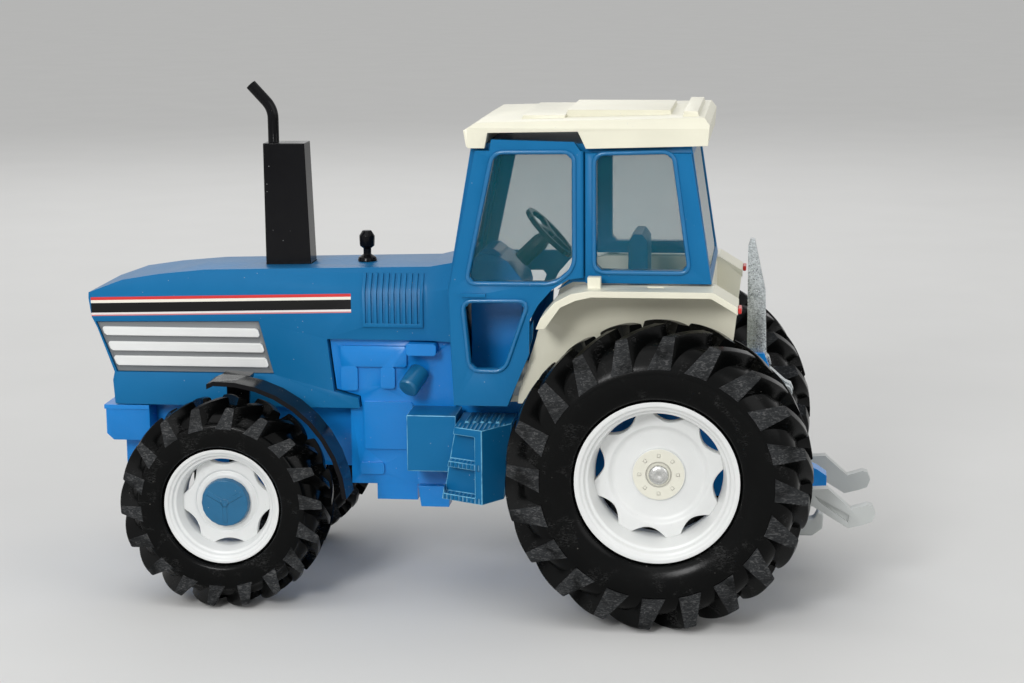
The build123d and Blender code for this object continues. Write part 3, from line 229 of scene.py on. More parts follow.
def handled(finish, colour, roughness, cloud=9.0, tint=0.07, dust_share=0.02):
    """Clouded colour and gloss, fine grain and specks of dust, shared by the painted pieces."""
    clouds = finish.noise(cloud, 3.0)
    fine = finish.noise(GRAIN, 2.0)
    dark = tuple(c * (1 - tint) for c in colour)
    light = tuple(min(1.0, c * (1 + tint) + 0.003) for c in colour)
    shade = finish.mix(dark, light, clouds)
    specks = finish.specks(DUST_SIZE, dust_share)
    shade = finish.mix(shade, DUST_GREY, specks * 0.55)
    finish.set("Base Color", shade)
    finish.set("Roughness", clouds * 0.10 + fine * 0.05 + specks * 0.3 + (roughness - 0.075))
    finish.relief(fine, 0.010)
    return shade


def painted(name, colour, roughness, **constants):
    """A finish of one colour, clouded and dusted by use."""
    finish = Finish(name, colour, roughness, **constants)
    handled(finish, colour, roughness)
    return finish


def from_axle(finish, wheel_x, wheel_z):
    """Distance and angle of a point about a cross axis, for marks on a wheel's face."""
    across, rise = finish.x - wheel_x, finish.z - wheel_z
    distance = (across * across + rise * rise).math("SQRT")
    return distance, rise.math("ARCTAN2", across)


ENAMEL_BLUE = (0.005, 0.138, 0.330)
MOULDED_BLUE = (0.007, 0.222, 0.640)
CREAM = (0.745, 0.725, 0.590)
WHITE = (0.740, 0.750, 0.740)
GLOSS_BLACK = (0.004, 0.004, 0.005)
ENAMEL_SPECULAR = 0.13

enamel = painted("blue_enamel", ENAMEL_BLUE, 0.33, specular_ior_level=ENAMEL_SPECULAR)
bright = painted("bright_blue_plastic", MOULDED_BLUE, 0.24, specular_ior_level=0.32)
cream = painted("cream_plastic", CREAM, 0.38)
black = painted("black_plastic", GLOSS_BLACK, 0.13, specular_ior_level=0.10)
filter_blue = painted("filter_blue", (0.006, 0.120, 0.260), 0.30)
light_grey = painted("light_grey_plastic", (0.47, 0.49, 0.48), 0.40)
bead_blue = painted("bead_blue", ENAMEL_BLUE, 0.16, specular_ior_level=0.5)
red = painted("red_paint", (0.55, 0.018, 0.012), 0.28)
print(len(bpy.data.materials), "finishes for painted and moulded pieces")

# %% [markdown]
# ## The bonnet's stripe
#
# Along each flank of the bonnet runs a printed band: a black stripe with a pale line and a
# red line above it, and a pale line below. It follows the bonnet's slope, so the height that
# the bands are read from is measured across the slope. The band is only on the upright part
# of the flanks, so a mask on the distance from the centre line keeps it off the top.

# %% Enamel with the printed stripe
STRIPE_FRONT, STRIPE_REAR = 77.6, 24.7       # stations of its ends, millimetres
STRIPE_FOOT_REAR = 56.2                      # height of its lower edge at the rear end
STRIPE_FALL = 0.0266                         # fall per millimetre forward
STRIPE_BANDS = (                             # heights above the lower edge, and colour
    (0.00, 0.24, (0.62, 0.20, 0.19)),
    (0.24, 0.66, (0.80, 0.74, 0.72)),
    (0.66, 2.62, (0.010, 0.010, 0.010)),
    (2.62, 3.20, (0.82, 0.78, 0.68)),
    (3.20, 3.80, (0.62, 0.045, 0.045)),
)
FLANK_Y = 11.2                               # the flank is further out than this

striped = Finish("striped_blue_enamel", ENAMEL_BLUE, 0.33, specular_ior_level=ENAMEL_SPECULAR)
paint = handled(striped, ENAMEL_BLUE, 0.33)
across = striped.z - (STRIPE_FOOT_REAR - (striped.x - STRIPE_REAR) * STRIPE_FALL)
on_flank = striped.y.math("ABSOLUTE").above(FLANK_Y, 0.02)
on_flank = on_flank * striped.x.within(STRIPE_REAR, STRIPE_FRONT, 0.05)
for low, high, shade in STRIPE_BANDS:
    paint = striped.mix(paint, shade, on_flank * across.within(low, high, 0.05))
striped.set("Base Color", paint)
print("stripe of", len(STRIPE_BANDS), "bands, from x", STRIPE_REAR, "to", STRIPE_FRONT, "mm")

# %% [markdown]
# ## Wheel centres and hubs
#
# The rims are white plastic with a slightly creamier disc round the axle, which carries eight
# faint bolt heads. The blue caps of the front hubs have three raised arms and a pip in the
# middle. Both patterns go round an axle, so they are read from a point's distance and angle
# about it.

# %% White plastic with a creamy middle
REAR_CENTRE, FRONT_CENTRE = (-37.0, 29.0), (47.7, 20.7)      # of the axles, millimetres
DISC_RADIUS = 4.9
BOLTS, BOLT_CIRCLE, BOLT_HALF = 8, 3.65, 0.3
DISC_CREAM, GROOVE_PAINTED_SHADE = (0.745, 0.73, 0.63), (0.56, 0.54, 0.46)

rim_white = Finish("rim_white", WHITE, 0.34)
pale = handled(rim_white, WHITE, 0.34)
distance, angle = from_axle(rim_white, *REAR_CENTRE)
disc = 1 - distance.above(DISC_RADIUS, 0.12)
on_circle = distance.within(BOLT_CIRCLE - BOLT_HALF, BOLT_CIRCLE + BOLT_HALF, 0.12)
bolts = (angle * BOLTS).math("COSINE").above(0.82, 0.12) * on_circle
groove = distance.within(2.25, 2.45, 0.1)
creamy = rim_white.mix(pale, DISC_CREAM, disc)
# The groove's colour is darkened: painted shade in the recess.
rim_white.set("Base Color", rim_white.mix(creamy, GROOVE_PAINTED_SHADE, groove * 0.7))
rim_white.relief(bolts * 0.8 - groove + rim_white.noise(0.35) * 0.04, 0.25)

# %% Blue cap with three arms
CAP_BLUE = (0.006, 0.115, 0.245)
hub_blue = Finish("hub_blue", CAP_BLUE, 0.30)
handled(hub_blue, CAP_BLUE, 0.30, cloud=3.0, tint=0.16, dust_share=0.05)
distance, angle = from_axle(hub_blue, *FRONT_CENTRE)
third = math.tau / 3
turn = (angle + math.tau + math.radians(30)).math("FLOORED_MODULO", third) - third / 2
beside = (distance * turn.math("SINE")).math("ABSOLUTE")
arms = (1 - beside.above(0.42, 0.14)) * distance.within(0.0, 3.9, 0.3)
pip = 1 - distance.above(0.75, 0.2)
hub_blue.relief(arms * 0.6 + pip * 0.8 + hub_blue.noise(0.8, 3.0) * 0.25, 0.22)

# %% [markdown]
# ## The step
#
# The step's top and its two treads are ribbed against slipping, and its edges carry a pale
# painted highlight. The ribs are a wave along the step, kept to the top face by a height and to
# the treads by two narrow bands; patches of their crests are painted paler, as a highlight. The
# edge highlight is a finish of its own, for the rounded strips.

# %% Ribbed step, with painted highlights on its crests and edges
STEP_TOP, STEP_BASE = 36.2, 21.5             # heights, millimetres
STEP_CORNER_X = -3.0                         # station of its outermost corner
TANK_SIDE = 19.3                             # what is further out belongs to the step
RIB_PITCH = 0.85
TREADS = ((STEP_BASE + 6.6, STEP_BASE + 7.8), (STEP_BASE, STEP_BASE + 1.2))

step_blue = Finish("step_blue", ENAMEL_BLUE, 0.34, specular_ior_level=ENAMEL_SPECULAR)
paint = handled(step_blue, ENAMEL_BLUE, 0.34)
wave = (step_blue.x * (math.tau / RIB_PITCH)).math("SINE") * 0.5 + 0.5
ribbed = step_blue.z.above(STEP_TOP - 0.1, 0.05)
for low, high in TREADS:
    ribbed = ribbed + step_blue.z.within(low, high, 0.1) * step_blue.x.above(STEP_CORNER_X, 0.1)
ribbed = ribbed * step_blue.y.math("ABSOLUTE").above(TANK_SIDE, 0.1)
# Patches of the ribs' crests are mixed to a paler blue: a painted highlight.
painted_crest_highlight = ribbed * wave.above(0.75, 0.2) * step_blue.noise(2.5, 3.0).above(0.45, 0.2)
step_blue.set("Base Color", step_blue.mix(paint, (0.20, 0.42, 0.60), painted_crest_highlight * 0.7))
step_blue.relief(ribbed * wave + step_blue.noise(0.35) * 0.03, 0.3)

# The rounded edge strips are mixed in blotches to a paler blue: a painted highlight on the edges.
edge_highlight_blue = Finish("edge_highlight_blue", (0.06, 0.28, 0.48), 0.34)
highlight_blotches = edge_highlight_blue.noise(2.2, 4.0).above(0.42, 0.25)
edge_highlight_blue.set("Base Color", edge_highlight_blue.mix(ENAMEL_BLUE, (0.16, 0.46, 0.66), highlight_blotches))

# %% [markdown]
# ## Rubber, zinc and glazing
#
# The tyres are glossy black rubber. The flat ends of the lugs are where a tyre rubs, so they
# are a little greyer, with scratches: the mesh carries a value there, and the finish reads it.
# The lift lever is a zinc casting whose fine bright grains are Voronoi cells. The glazing is
# one clear moulding with a cool tint: its alpha rises towards grazing angles, as the
# reflection of real glazing does.

# %% Rubber
rubber = Finish("tyre_rubber", (0.002, 0.002, 0.002), 0.22, specular_ior_level=0.10)
worn = rubber.node("ShaderNodeAttribute", {"attribute_name": "worn"}, {}, output="Fac")
wear = rubber.noise(4.5, 5.0, 0.6)
scratch = rubber.noise(0.9, 6.0, 1.6, stretch=(1, 1, 0.35)).above(0.57, 0.10)
ends = worn * (wear.above(0.44, 0.22) * 0.75 + 0.25)
scuffed = scratch * wear.above(0.60, 0.08) * 0.35
tread = rubber.mix((0.0010, 0.0012, 0.0012), (0.0030, 0.0032, 0.0032), wear)
tread = rubber.mix(tread, (0.030, 0.032, 0.034), ends * 0.75)
tread = rubber.mix(tread, (0.20, 0.20, 0.20), ends * scratch * 0.30 + scuffed * 0.25)
tread = rubber.mix(tread, (0.30, 0.29, 0.26), rubber.specks(0.8, 0.006) * 0.4)
rubber.set("Base Color", tread)
rubber.set("Roughness", ends * 0.20 + scuffed * 0.4 + wear * 0.10 + 0.17)
rubber.relief(rubber.noise(0.6, 3.0) * 0.4 + scratch * ends, 0.03)

# %% Zinc
zinc = Finish("zinc_casting", (0.46, 0.50, 0.51), 0.34, metallic=0.85)
grains = zinc.node("ShaderNodeSeparateColor", {}, {0: zinc.cells(0.20, output="Color")}, output=0)
broad = zinc.noise(3.0, 3.0)
zinc.set("Base Color", zinc.mix((0.22, 0.25, 0.26), (0.74, 0.78, 0.79), grains * 0.65 + broad * 0.35))
zinc.set("Roughness", grains * 0.15 + broad * 0.12 + 0.20)
zinc.relief(grains, 0.012)

# %% Glazing
clear = Finish("clear_glazing", (0.0, 0.10, 0.125), 0.04)
rim_light = clear.node("ShaderNodeFresnel", {}, {"IOR": 1.45})
smears = clear.noise(7.0, 4.0, 0.8)
clear.set("Alpha", rim_light * 0.7 + smears * 0.04 + 0.16)
clear.set("Roughness", smears * 0.05 + 0.02)
clear.set("Base Color", clear.mix((0.0, 0.115, 0.150), (0.004, 0.150, 0.185), smears))

# %% [markdown]
# ## The grilles
#
# White bars stand in front of a recess, moulded in one piece; the recess is painted grey, as
# painted shade. The bars differ from the recess only in how far out they are, so the colour
# follows a distance: from the centre line on the flanks, and along the leaning nose in front.

# %% Grilles
# The recess's grey is painted shade.
RECESS_PAINTED_SHADE = (0.17, 0.18, 0.185)
SIDE_FACE = 11.12                            # distance out of the flank bars' backs, millimetres
NOSE_LEAN = 0.3416                           # radians, of the nose from upright
NOSE_FACE = 58.98                            # the nose bars' backs along its normal, millimetres


def barred(name, outward):
    """White where outward(finish) is 1, and the recess's grey painted shade where it is 0."""
    finish = Finish(name, WHITE, 0.35)
    pale = handled(finish, WHITE, 0.35)
    finish.set("Base Color", finish.mix(RECESS_PAINTED_SHADE, pale, outward(finish)))
    return finish


def nose_distance(finish):
    """How far a point is along the nose's normal (cos lean, 0, -sin lean)."""
    return finish.x * math.cos(NOSE_LEAN) - finish.z * math.sin(NOSE_LEAN)


grille = barred("side_grille", lambda finish: finish.y.math("ABSOLUTE").above(SIDE_FACE, 0.06))
nose_grille = barred("front_grille", lambda finish: nose_distance(finish).above(NOSE_FACE, 0.1))

# %% [markdown]
# ## Softened copies of the solids
#
# Moulded and die-cast edges are never sharp: they carry a small radius that catches the
# light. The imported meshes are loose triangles, so a copy is merged, its flat areas are
# dissolved into whole faces and cut again into few triangles and quads, and a Bevel modifier
# rounds what is still a sharp edge. The copy then stands for the solid, which stays hidden
# for collision.


# %% A softened copy
FLAT = math.radians(0.6)                     # faces that meet at less than this are one face
SHARP = math.radians(32.0)                   # edges that meet at more than this are rounded


def softened(node, finish, width, edge_finish=None):
    """A copy of a node's mesh, merged, with its sharp edges rounded to width millimetres.

    The rounded strips take the edge finish, where there is one.
    """
    mesh = nodes[node].data.copy()
    shape = bmesh.new()
    shape.from_mesh(mesh)
    bmesh.ops.remove_doubles(shape, verts=shape.verts, dist=0.002 * MM)
    bmesh.ops.dissolve_limit(
        shape, angle_limit=FLAT, verts=shape.verts, edges=shape.edges, use_dissolve_boundaries=False
    )
    many_sided = [face for face in shape.faces if len(face.verts) > 5]
    split = bmesh.ops.triangulate(shape, faces=many_sided, ngon_method="BEAUTY")
    bmesh.ops.join_triangles(
        shape, faces=split["faces"], angle_face_threshold=FLAT, angle_shape_threshold=math.radians(50)
    )
    shape.to_mesh(mesh)
    shape.free()
    mesh.materials.clear()
    mesh.materials.append(finish.material)
    if edge_finish:
        mesh.materials.append(edge_finish.material)
    mesh.polygons.foreach_set("material_index", np.zeros(len(mesh.polygons), np.int32))
    mesh.polygons.foreach_set("use_smooth", np.ones(len(mesh.polygons), bool))
    mesh.set_sharp_from_angle(angle=SHARP)
    piece = bpy.data.objects.new(node + "_finished", mesh)
    bpy.context.scene.collection.objects.link(piece)
    if width:
        bevel = piece.modifiers.new("soft_edges", "BEVEL")
        bevel.width = width * MM
        bevel.segments = 2
        bevel.limit_method = "ANGLE"
        bevel.angle_limit = SHARP
        bevel.harden_normals = True
        bevel.miter_outer = "MITER_ARC"
        if edge_finish:
            bevel.material = 1
    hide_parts(node)
    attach(piece, body_of[node])


# %% Softened pieces, by finish
SIDES = ("left", "right")
SOFTENED = (                    # node, finish, edge radius in millimetres
    ("bonnet", striped, 0.35), ("cab_frame", enamel, 0.20), ("chassis", bright, 0.25),
    ("front_axle", bright, 0.25), ("dash", bright, 0.6), ("seat", enamel, 0.8),
    ("exhaust", black, 0.25), ("pre_cleaner", black, 0.15), ("steering_wheel", black, 0.3),
    ("roof", cream, 0.45), ("cab_floor", cream, 0.3), ("oil_filter", filter_blue, 0.3),
    ("track_rod", zinc, 0.2), ("tow_hook", light_grey, 0.4), ("lift_lever", zinc, 0.35),
    ("lift_link", zinc, 0.2), ("lift_yoke", light_grey, 0.4), ("front_grille", nose_grille, 0.15),
)
PAIRED = (
    ("door", enamel, 0.22), ("fender", cream, 0.3), ("tail_lamp", red, 0.25),
    ("knuckle", bright, 0.2), ("front_hub", hub_blue, 0.25), ("front_mudguard", black, 0.25),
    ("side_grille", grille, 0.2),
)
for node, finish, radius in SOFTENED:
    softened(node, finish, radius)
for side in SIDES:
    for stem, finish, radius in PAIRED:
        softened(f"{stem}_{side}", finish, radius)
    for stem in ("door_glass", "side_glass"):
        softened(f"{stem}_{side}", clear, 0.0)
    softened(f"tank_step_{side}", step_blue, 0.22, edge_finish=edge_highlight_blue)
for node in ("windscreen", "rear_window"):
    softened(node, clear, 0.0)

# %% [markdown]
# ## Surfaces from numbers
#
# Everything new is a grid of points worked out as one numpy array: a ring turned about an
# axle, or a section carried along a path. One function turns such grids into a mesh, and
# another turns a profile about a wheel's axle.


# %% Grids to meshes
def grid_faces(rows, columns, closed_rows, closed_columns, first):
    """Quads of a grid of points, as indices, wrapping round where a direction is closed."""
    row = np.arange(rows if closed_rows else rows - 1)
    column = np.arange(columns if closed_columns else columns - 1)
    a, b = np.meshgrid(row, column, indexing="ij")
    c, d = (a + 1) % rows, (b + 1) % columns
    quads = np.stack([a * columns + b, c * columns + b, c * columns + d, a * columns + d], -1)
    return quads.reshape(-1, 4) + first


def surface(name, grids, finish, body, replaced=(), sharp=35.0, worn=None):
    """One mesh from grids of points in millimetres: (points, rows closed, columns closed).

    worn gives one value a point, kept on the mesh for its finish to read.
    """
    points, faces, first = [], [], 0
    for grid, closed_rows, closed_columns in grids:
        rows, columns = grid.shape[:2]
        points.append(grid.reshape(-1, 3) * MM)
        faces.append(grid_faces(rows, columns, closed_rows, closed_columns, first))
        first += rows * columns
    points, faces = np.concatenate(points), np.concatenate(faces)
    mesh = bpy.data.meshes.new(name)
    mesh.vertices.add(len(points))
    mesh.vertices.foreach_set("co", points.astype(np.float32).ravel())
    mesh.loops.add(faces.size)
    mesh.loops.foreach_set("vertex_index", faces.astype(np.int32).ravel())
    mesh.polygons.add(len(faces))
    mesh.polygons.foreach_set("loop_start", np.arange(0, faces.size, 4, dtype=np.int32))
    mesh.polygons.foreach_set("loop_total", np.full(len(faces), 4, np.int32))
    mesh.update(calc_edges=True)
    if worn is not None:
        mesh.attributes.new("worn", "FLOAT", "POINT").data.foreach_set("value", worn.astype(np.float32))
    shape = bmesh.new()
    shape.from_mesh(mesh)
    bmesh.ops.remove_doubles(shape, verts=shape.verts, dist=0.0005 * MM)
    bmesh.ops.recalc_face_normals(shape, faces=shape.faces)
    shape.to_mesh(mesh)
    shape.free()
    mesh.polygons.foreach_set("use_smooth", np.ones(len(mesh.polygons), bool))
    mesh.set_sharp_from_angle(angle=math.radians(sharp))
    mesh.materials.append(finish.material)
    piece = bpy.data.objects.new(name, mesh)
    bpy.context.scene.collection.objects.link(piece)
    if replaced:
        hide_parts(*replaced)
    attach(piece, body)
    print(name, len(mesh.polygons), "faces")


def turned(centre, profile, side=1, count=160):
    """A profile of (outward, radius) in millimetres turned about a cross axis through centre.

    Each point goes round the circle x = cx + r cos a, z = cz + r sin a, at y = side * outward.
    """
    out, radius = np.asarray(profile, float).T
    angle = np.linspace(0, 2 * np.pi, count, endpoint=False)[:, None]
    x = centre[0] + radius * np.cos(angle)
    z = centre[2] + radius * np.sin(angle)
    y = centre[1] + side * out + 0 * angle
    return np.stack([x, y, z], -1)


def rounded_profile(points, radius, steps=4, closed=False):
    """A polyline with each inner corner replaced by a short curve.

    Round each corner runs the quadratic curve (1-t)^2 a + 2t(1-t) corner + t^2 b, where a and b
    are the points on its two runs at the corner's radius, or at 45% of a shorter run.
    """
    points = np.asarray(points, float)
    t = np.linspace(0, 1, steps + 1)[:, None]
    curve = []
    count = len(points)
    for index in range(count):
        if not closed and index in (0, count - 1):
            curve.append(points[index:index + 1])
            continue
        before, corner, after = points[index - 1], points[index], points[(index + 1) % count]
        ends = []
        for other in (before, after):
            run = np.linalg.norm(other - corner)
            ends.append(corner + (other - corner) * min(radius / run, 0.45))
        curve.append((1 - t) ** 2 * ends[0] + 2 * t * (1 - t) * corner + t ** 2 * ends[1])
    return np.concatenate(curve)


# %% [markdown]
# ## Tyres
#
# A tractor tyre is a ring with two rows of bars. Each bar starts near the middle of the tread
# and sweeps back as it runs to the shoulder, where it ends in a flat wedge that widens down
# the sidewall. The carcass is one turned profile. A bar is a grid: along it run stations from
# the middle to the shoulder, and across it a flat top with steep flanks. The other bars are
# the same grid turned about the axle. The end of each bar is a grid of its own, because it is
# the part that rubs: it carries the value that the rubber's finish reads.

# %% Wheels' own sizes
WHEELS = {
    "rear": dict(x=-37.0, y=27.85, r=29.0, half=9.0, lugs=20, tread=26.7, lip=15.5, lip_out=7.2,
                 sweep=6.6, top=2.1, foot=4.2, end_top=28.1, end_foot=21.9, lean=0.75),
    "front": dict(x=47.7, y=23.5, r=20.7, half=6.3, lugs=18, tread=18.9, lip=11.4, lip_out=5.15,
                  sweep=4.4, top=1.5, foot=3.1, end_top=19.95, end_foot=15.7, lean=0.6),
}


# %% One tyre
def carcass_profile(w):
    """The tyre's section: bead, bulging sidewall, rounded shoulder and flat tread."""
    half, lip, tread = w["half"], w["lip"], w["tread"]
    bulge = lip + (tread - lip) * 0.46
    side = [
        (w["lip_out"] - 1.0, lip - 1.4), (w["lip_out"] - 0.9, lip + 0.15),
        (w["lip_out"] + 0.55, lip + 0.5),
        (half * 0.975, bulge - 2.4), (half * 1.0, bulge), (half * 0.97, bulge + 1.6),
        (half * 0.83, tread - 2.2), (half * 0.60, tread - 0.5), (half * 0.2, tread),
    ]
    outer = rounded_profile(side, 1.8, 5)
    mirrored = outer[::-1] * (-1, 1)
    return np.concatenate([outer, mirrored])


def section_at(w, u):
    """A bar's half section at a share u of its way out: half widths and radii, top to foot.

    The top follows the crown and falls to the end's top radius as u^2.4, and the foot sinks
    to the end's foot as ((u - 0.3) / 0.7)^1.5.
    """
    top_radius = w["r"] - (w["r"] - w["end_top"]) * u ** 2.4
    sunk = w["tread"] - 0.8                  # the foot starts a little inside the carcass
    foot_radius = sunk + (w["end_foot"] - sunk) * np.clip((u - 0.3) / 0.7, 0, 1) ** 1.5
    top, foot = w["top"] * np.ones_like(u), w["foot"] * (0.75 + 0.25 * u)
    edge = 0.14
    widths = np.stack([top / 2 - edge, top / 2 + edge / 2, foot / 2], -1)
    radii = np.stack([top_radius, top_radius - edge, foot_radius], -1)
    return widths, radii


def lug_grids(w):
    """One bar and its end in polar form: (angle, distance out, radius).

    The bar trails by sweep * u^1.15 about the axle. Its end leans in towards the top, from
    the tyre's full width at the foot.
    """
    u = np.linspace(0.0, 1.0, 11)
    widths, radii = section_at(w, u)
    offsets = np.concatenate([-widths[:, ::-1], widths], 1)
    radii = np.concatenate([radii[:, ::-1], radii], 1)
    angle = (offsets - w["sweep"] * u[:, None] ** 1.15) / radii
    lean = w["lean"] * (radii - w["end_foot"]) / (w["r"] - w["end_foot"])
    out = w["half"] * 0.99 * (0.02 + 0.98 * u[:, None]) - np.clip(lean, 0, None) * u[:, None] ** 3
    bar = np.stack([angle, out, radii], -1)
    start = bar[:1].copy()
    start[..., 2] = radii[0, 0]
    # the end: the last section's outline, drawn in to the foot's line
    outline = bar[-1]
    foot_line = outline.copy()
    foot_line[:, 2] = outline[0, 2]
    foot_line[:, 1] = outline[0, 1]
    share = np.linspace(0, 1, 4)[:, None, None]
    end = outline + (foot_line - outline) * share
    risen = (end[..., 2] - w["end_foot"]) / (w["r"] - w["end_foot"])
    end[..., 1] = w["half"] * 0.99 - w["lean"] * risen
    return np.concatenate([start, bar]), end


def placed(w, side, row, polar, turn):
    """A polar grid as points of one tyre, turned about the axle."""
    angle = polar[..., 0] + turn + math.pi / 2
    x = w["x"] + polar[..., 2] * np.cos(angle)
    z = w["r"] + polar[..., 2] * np.sin(angle)
    y = side * (w["y"] + row * polar[..., 1])
    return np.stack([x, y, z], -1)


def build_tyre(axle, side_name):
    """The carcass and both rows of bars as one mesh, with the bars' ends marked as worn."""
    w = WHEELS[axle]
    side = 1 if side_name == "left" else -1
    grids = [turned((w["x"], side * w["y"], w["r"]), carcass_profile(w), side, 180)]
    worn = [np.zeros(grids[0].shape[:2])]
    bar, end = lug_grids(w)
    for row, stagger in ((1, 0.0), (-1, 0.5)):
        for step in range(w["lugs"]):
            turn = math.tau * (step + stagger) / w["lugs"]
            for polar, value in ((bar, 0.0), (end, 1.0)):
                # the ends are lifted by a hair, so that they stay apart from the bars' points
                lifted = polar + (0, 0.004 * value, 0)
                grids.append(placed(w, side, row, lifted, turn))
                worn.append(np.full(polar.shape[:2], value))
    closed = [(grids[0], True, True)] + [(grid, False, False) for grid in grids[1:]]
    values = np.concatenate([part.ravel() for part in worn])
    node = f"{axle}_tyre_{side_name}"
    surface(node + "_rubber", closed, rubber, body_of[node], (node,), 28.0, values)


for axle in WHEELS:
    for side_name in SIDES:
        build_tyre(axle, side_name)

# %% [markdown]
# ## Wheel centres
#
# The rims are white plastic. A stepped barrel carries the tyre, and inside it lies a dished
# disc. Between disc and barrel are lens-shaped windows, so the disc is a star: its edge
# touches the barrel between the windows and dips inwards at each of them.

# %% Rims' own sizes
RIMS = {
    "rear": dict(
        barrel=[(6.2, 13.9), (7.0, 15.3), (7.2, 15.5), (7.25, 15.3), (7.2, 14.6), (6.7, 14.25),
                (6.5, 13.75), (5.6, 13.5), (5.4, 12.95), (4.2, 12.75), (0.6, 12.2), (-1.6, 12.1),
                (-6.4, 12.9), (-7.2, 15.3), (-7.0, 15.5), (-6.2, 15.4), (-6.0, 13.95)],
        disc=[(0.55, 1.6), (0.55, 4.85), (0.45, 5.0), (-0.05, 5.05), (-0.05, 8.4), (0.15, 8.9),
              (0.75, 9.5), (0.8, 10.0)],
        edge=12.3, windows=8, dip=1.9, span=15.5, turn=9.0, back=-1.4, hub=3.4, reach=-10.3, bore=1.55),
    "front": dict(
        barrel=[(4.3, 9.9), (5.0, 11.25), (5.15, 11.4), (5.2, 11.25), (5.15, 10.75), (4.75, 10.45),
                (4.6, 10.05), (4.0, 9.8), (3.8, 9.3), (1.4, 8.75), (-0.8, 8.7), (-4.4, 9.1),
                (-5.15, 11.2), (-5.0, 11.4), (-4.3, 11.3), (-4.2, 9.95)],
        disc=[(1.0, 1.5), (1.0, 4.9), (1.0, 5.4), (0.62, 5.9), (0.62, 6.1), (0.85, 6.3),
              (0.85, 6.9)],
        edge=8.9, windows=6, dip=1.45, span=20.0, turn=28.0, back=-0.6, hub=3.4, reach=-5.0, bore=1.5),
}


# %% One rim
def star_radius(rim, angle):
    """The disc's edge radius at each angle: the barrel's, less a rounded dip at each window.

    Within span degrees either side of a window's middle the dip is dip * (1 - (a / span)^2).
    """
    pitch = math.tau / rim["windows"]
    span = math.radians(rim["span"])
    away = (angle - math.radians(rim["turn"]) + pitch / 2) % pitch - pitch / 2
    return rim["edge"] - rim["dip"] * np.clip(1 - (away / span) ** 2, 0, None) ** 0.85


def build_rim(axle, side_name):
    """The barrel, and the star-shaped disc with its hub, as one mesh."""
    w, rim = WHEELS[axle], RIMS[axle]
    side = 1 if side_name == "left" else -1
    centre = (w["x"], side * w["y"], w["r"])
    barrel = turned(centre, rounded_profile(rim["barrel"], 0.22, 3, closed=True), side, 160)
    front = rounded_profile(rim["disc"], 0.25, 3)
    angle = np.linspace(0, 2 * np.pi, 288, endpoint=False)
    edge = star_radius(rim, angle)
    inner = front[-1, 1]
    out_edge = front[-1, 0]

    def ring(out, radius):
        """The disc's points at one place in its profile, once round the axle."""
        return np.stack(np.broadcast_arrays(out + 0 * angle, radius), -1)

    profiles = [ring(out, radius) for out, radius in front]
    for share in (0.25, 0.5, 0.75):
        profiles.append(ring(out_edge, inner + (edge - inner) * share))
    profiles += [
        ring(out_edge, edge - 0.12), ring(out_edge - 0.15, edge), ring(rim["back"], edge),
        ring(rim["back"], inner), ring(rim["back"], rim["hub"]),
        ring(rim["reach"], rim["hub"]), ring(rim["reach"], rim["bore"]),
    ]
    polar = np.stack(profiles, 1)
    x = w["x"] + polar[..., 1] * np.cos(angle)[:, None]
    z = w["r"] + polar[..., 1] * np.sin(angle)[:, None]
    y = side * (w["y"] + polar[..., 0])
    disc = np.stack([x, y, z], -1)
    node = f"{axle}_rim_{side_name}"
    surface(node + "_plastic", [(barrel, True, True), (disc, True, True)], rim_white,
            body_of[node], (node,), sharp=40.0)


for axle in RIMS:
    for side_name in SIDES:
        build_rim(axle, side_name)

# %% [markdown]
# ## The rear axle
#
# The axle is a plain steel bar. Its ends are peened over outside the wheels, which leaves a
# domed head with a small dimple: a profile turned about the axle.

# %% Rear axle
steel = Finish("bright_steel", (0.62, 0.62, 0.60), 0.24, metallic=1.0)
steel.set("Roughness", steel.noise(0.5, 3.0) * 0.22 + 0.16)
steel.relief(steel.noise(0.45, 2.0), 0.05)
AXLE_END = [(29.02, 0.0), (29.0, 0.30), (29.12, 0.55), (29.14, 0.95), (29.06, 1.45), (28.88, 1.78),
            (28.70, 1.88), (28.67, 1.50)]            # outward and radius, millimetres
half = np.array(AXLE_END)
profile = np.concatenate([half, half[::-1] * (-1, 1)])
rear = WHEELS["rear"]
axle = turned((rear["x"], 0.0, rear["r"]), profile, 1, 48)
surface("rear_axle_steel", [(axle, True, False)], steel,
        body_of["rear_axle"], ("rear_axle",))

# %% [markdown]
# ## Beads round the windows
#
# Each side window has a raised bead round it, cast in one with its panel. It is a circle
# carried round the window's rounded outline, half sunk in the panel's outer face.

# %% Window beads
BEAD_RADIUS = 0.42
BEAD_OUTSET = 0.45
DOOR_FACE, PANEL_FACE = 21.0, 20.8           # distances out, millimetres
WINDOWS = {                                  # corners of each opening: station and height
    "door_window": ("door", DOOR_FACE,
                    [(-5.3, 88.6), (-20.0, 88.7), (-20.0, 67.3), (-16.6, 64.4), (-0.1, 64.3)]),
    "foot_window": ("door", DOOR_FACE, [(0.7, 60.1), (-11.1, 60.2), (-6.6, 47.3), (-0.5, 47.3)]),
    "side_window": ("cab_frame", PANEL_FACE,
                    [(-24.6, 88.4), (-38.7, 88.8), (-41.8, 66.7), (-24.6, 66.7)]),
}


def outset(points, distance):
    """A closed outline moved outwards: each corner goes along the sum of its runs' normals."""
    points = np.asarray(points, float)
    run = np.roll(points, -1, 0) - points
    run /= np.linalg.norm(run, axis=1, keepdims=True)
    normal = np.stack([run[:, 1], -run[:, 0]], 1)
    x, z = points.T
    area = np.sum(x * np.roll(z, -1) - np.roll(x, -1) * z)
    before = np.roll(normal, 1, 0)
    share = 1 / (1 + np.sum(normal * before, 1, keepdims=True))
    return points + np.sign(area) * distance * (normal + before) * share


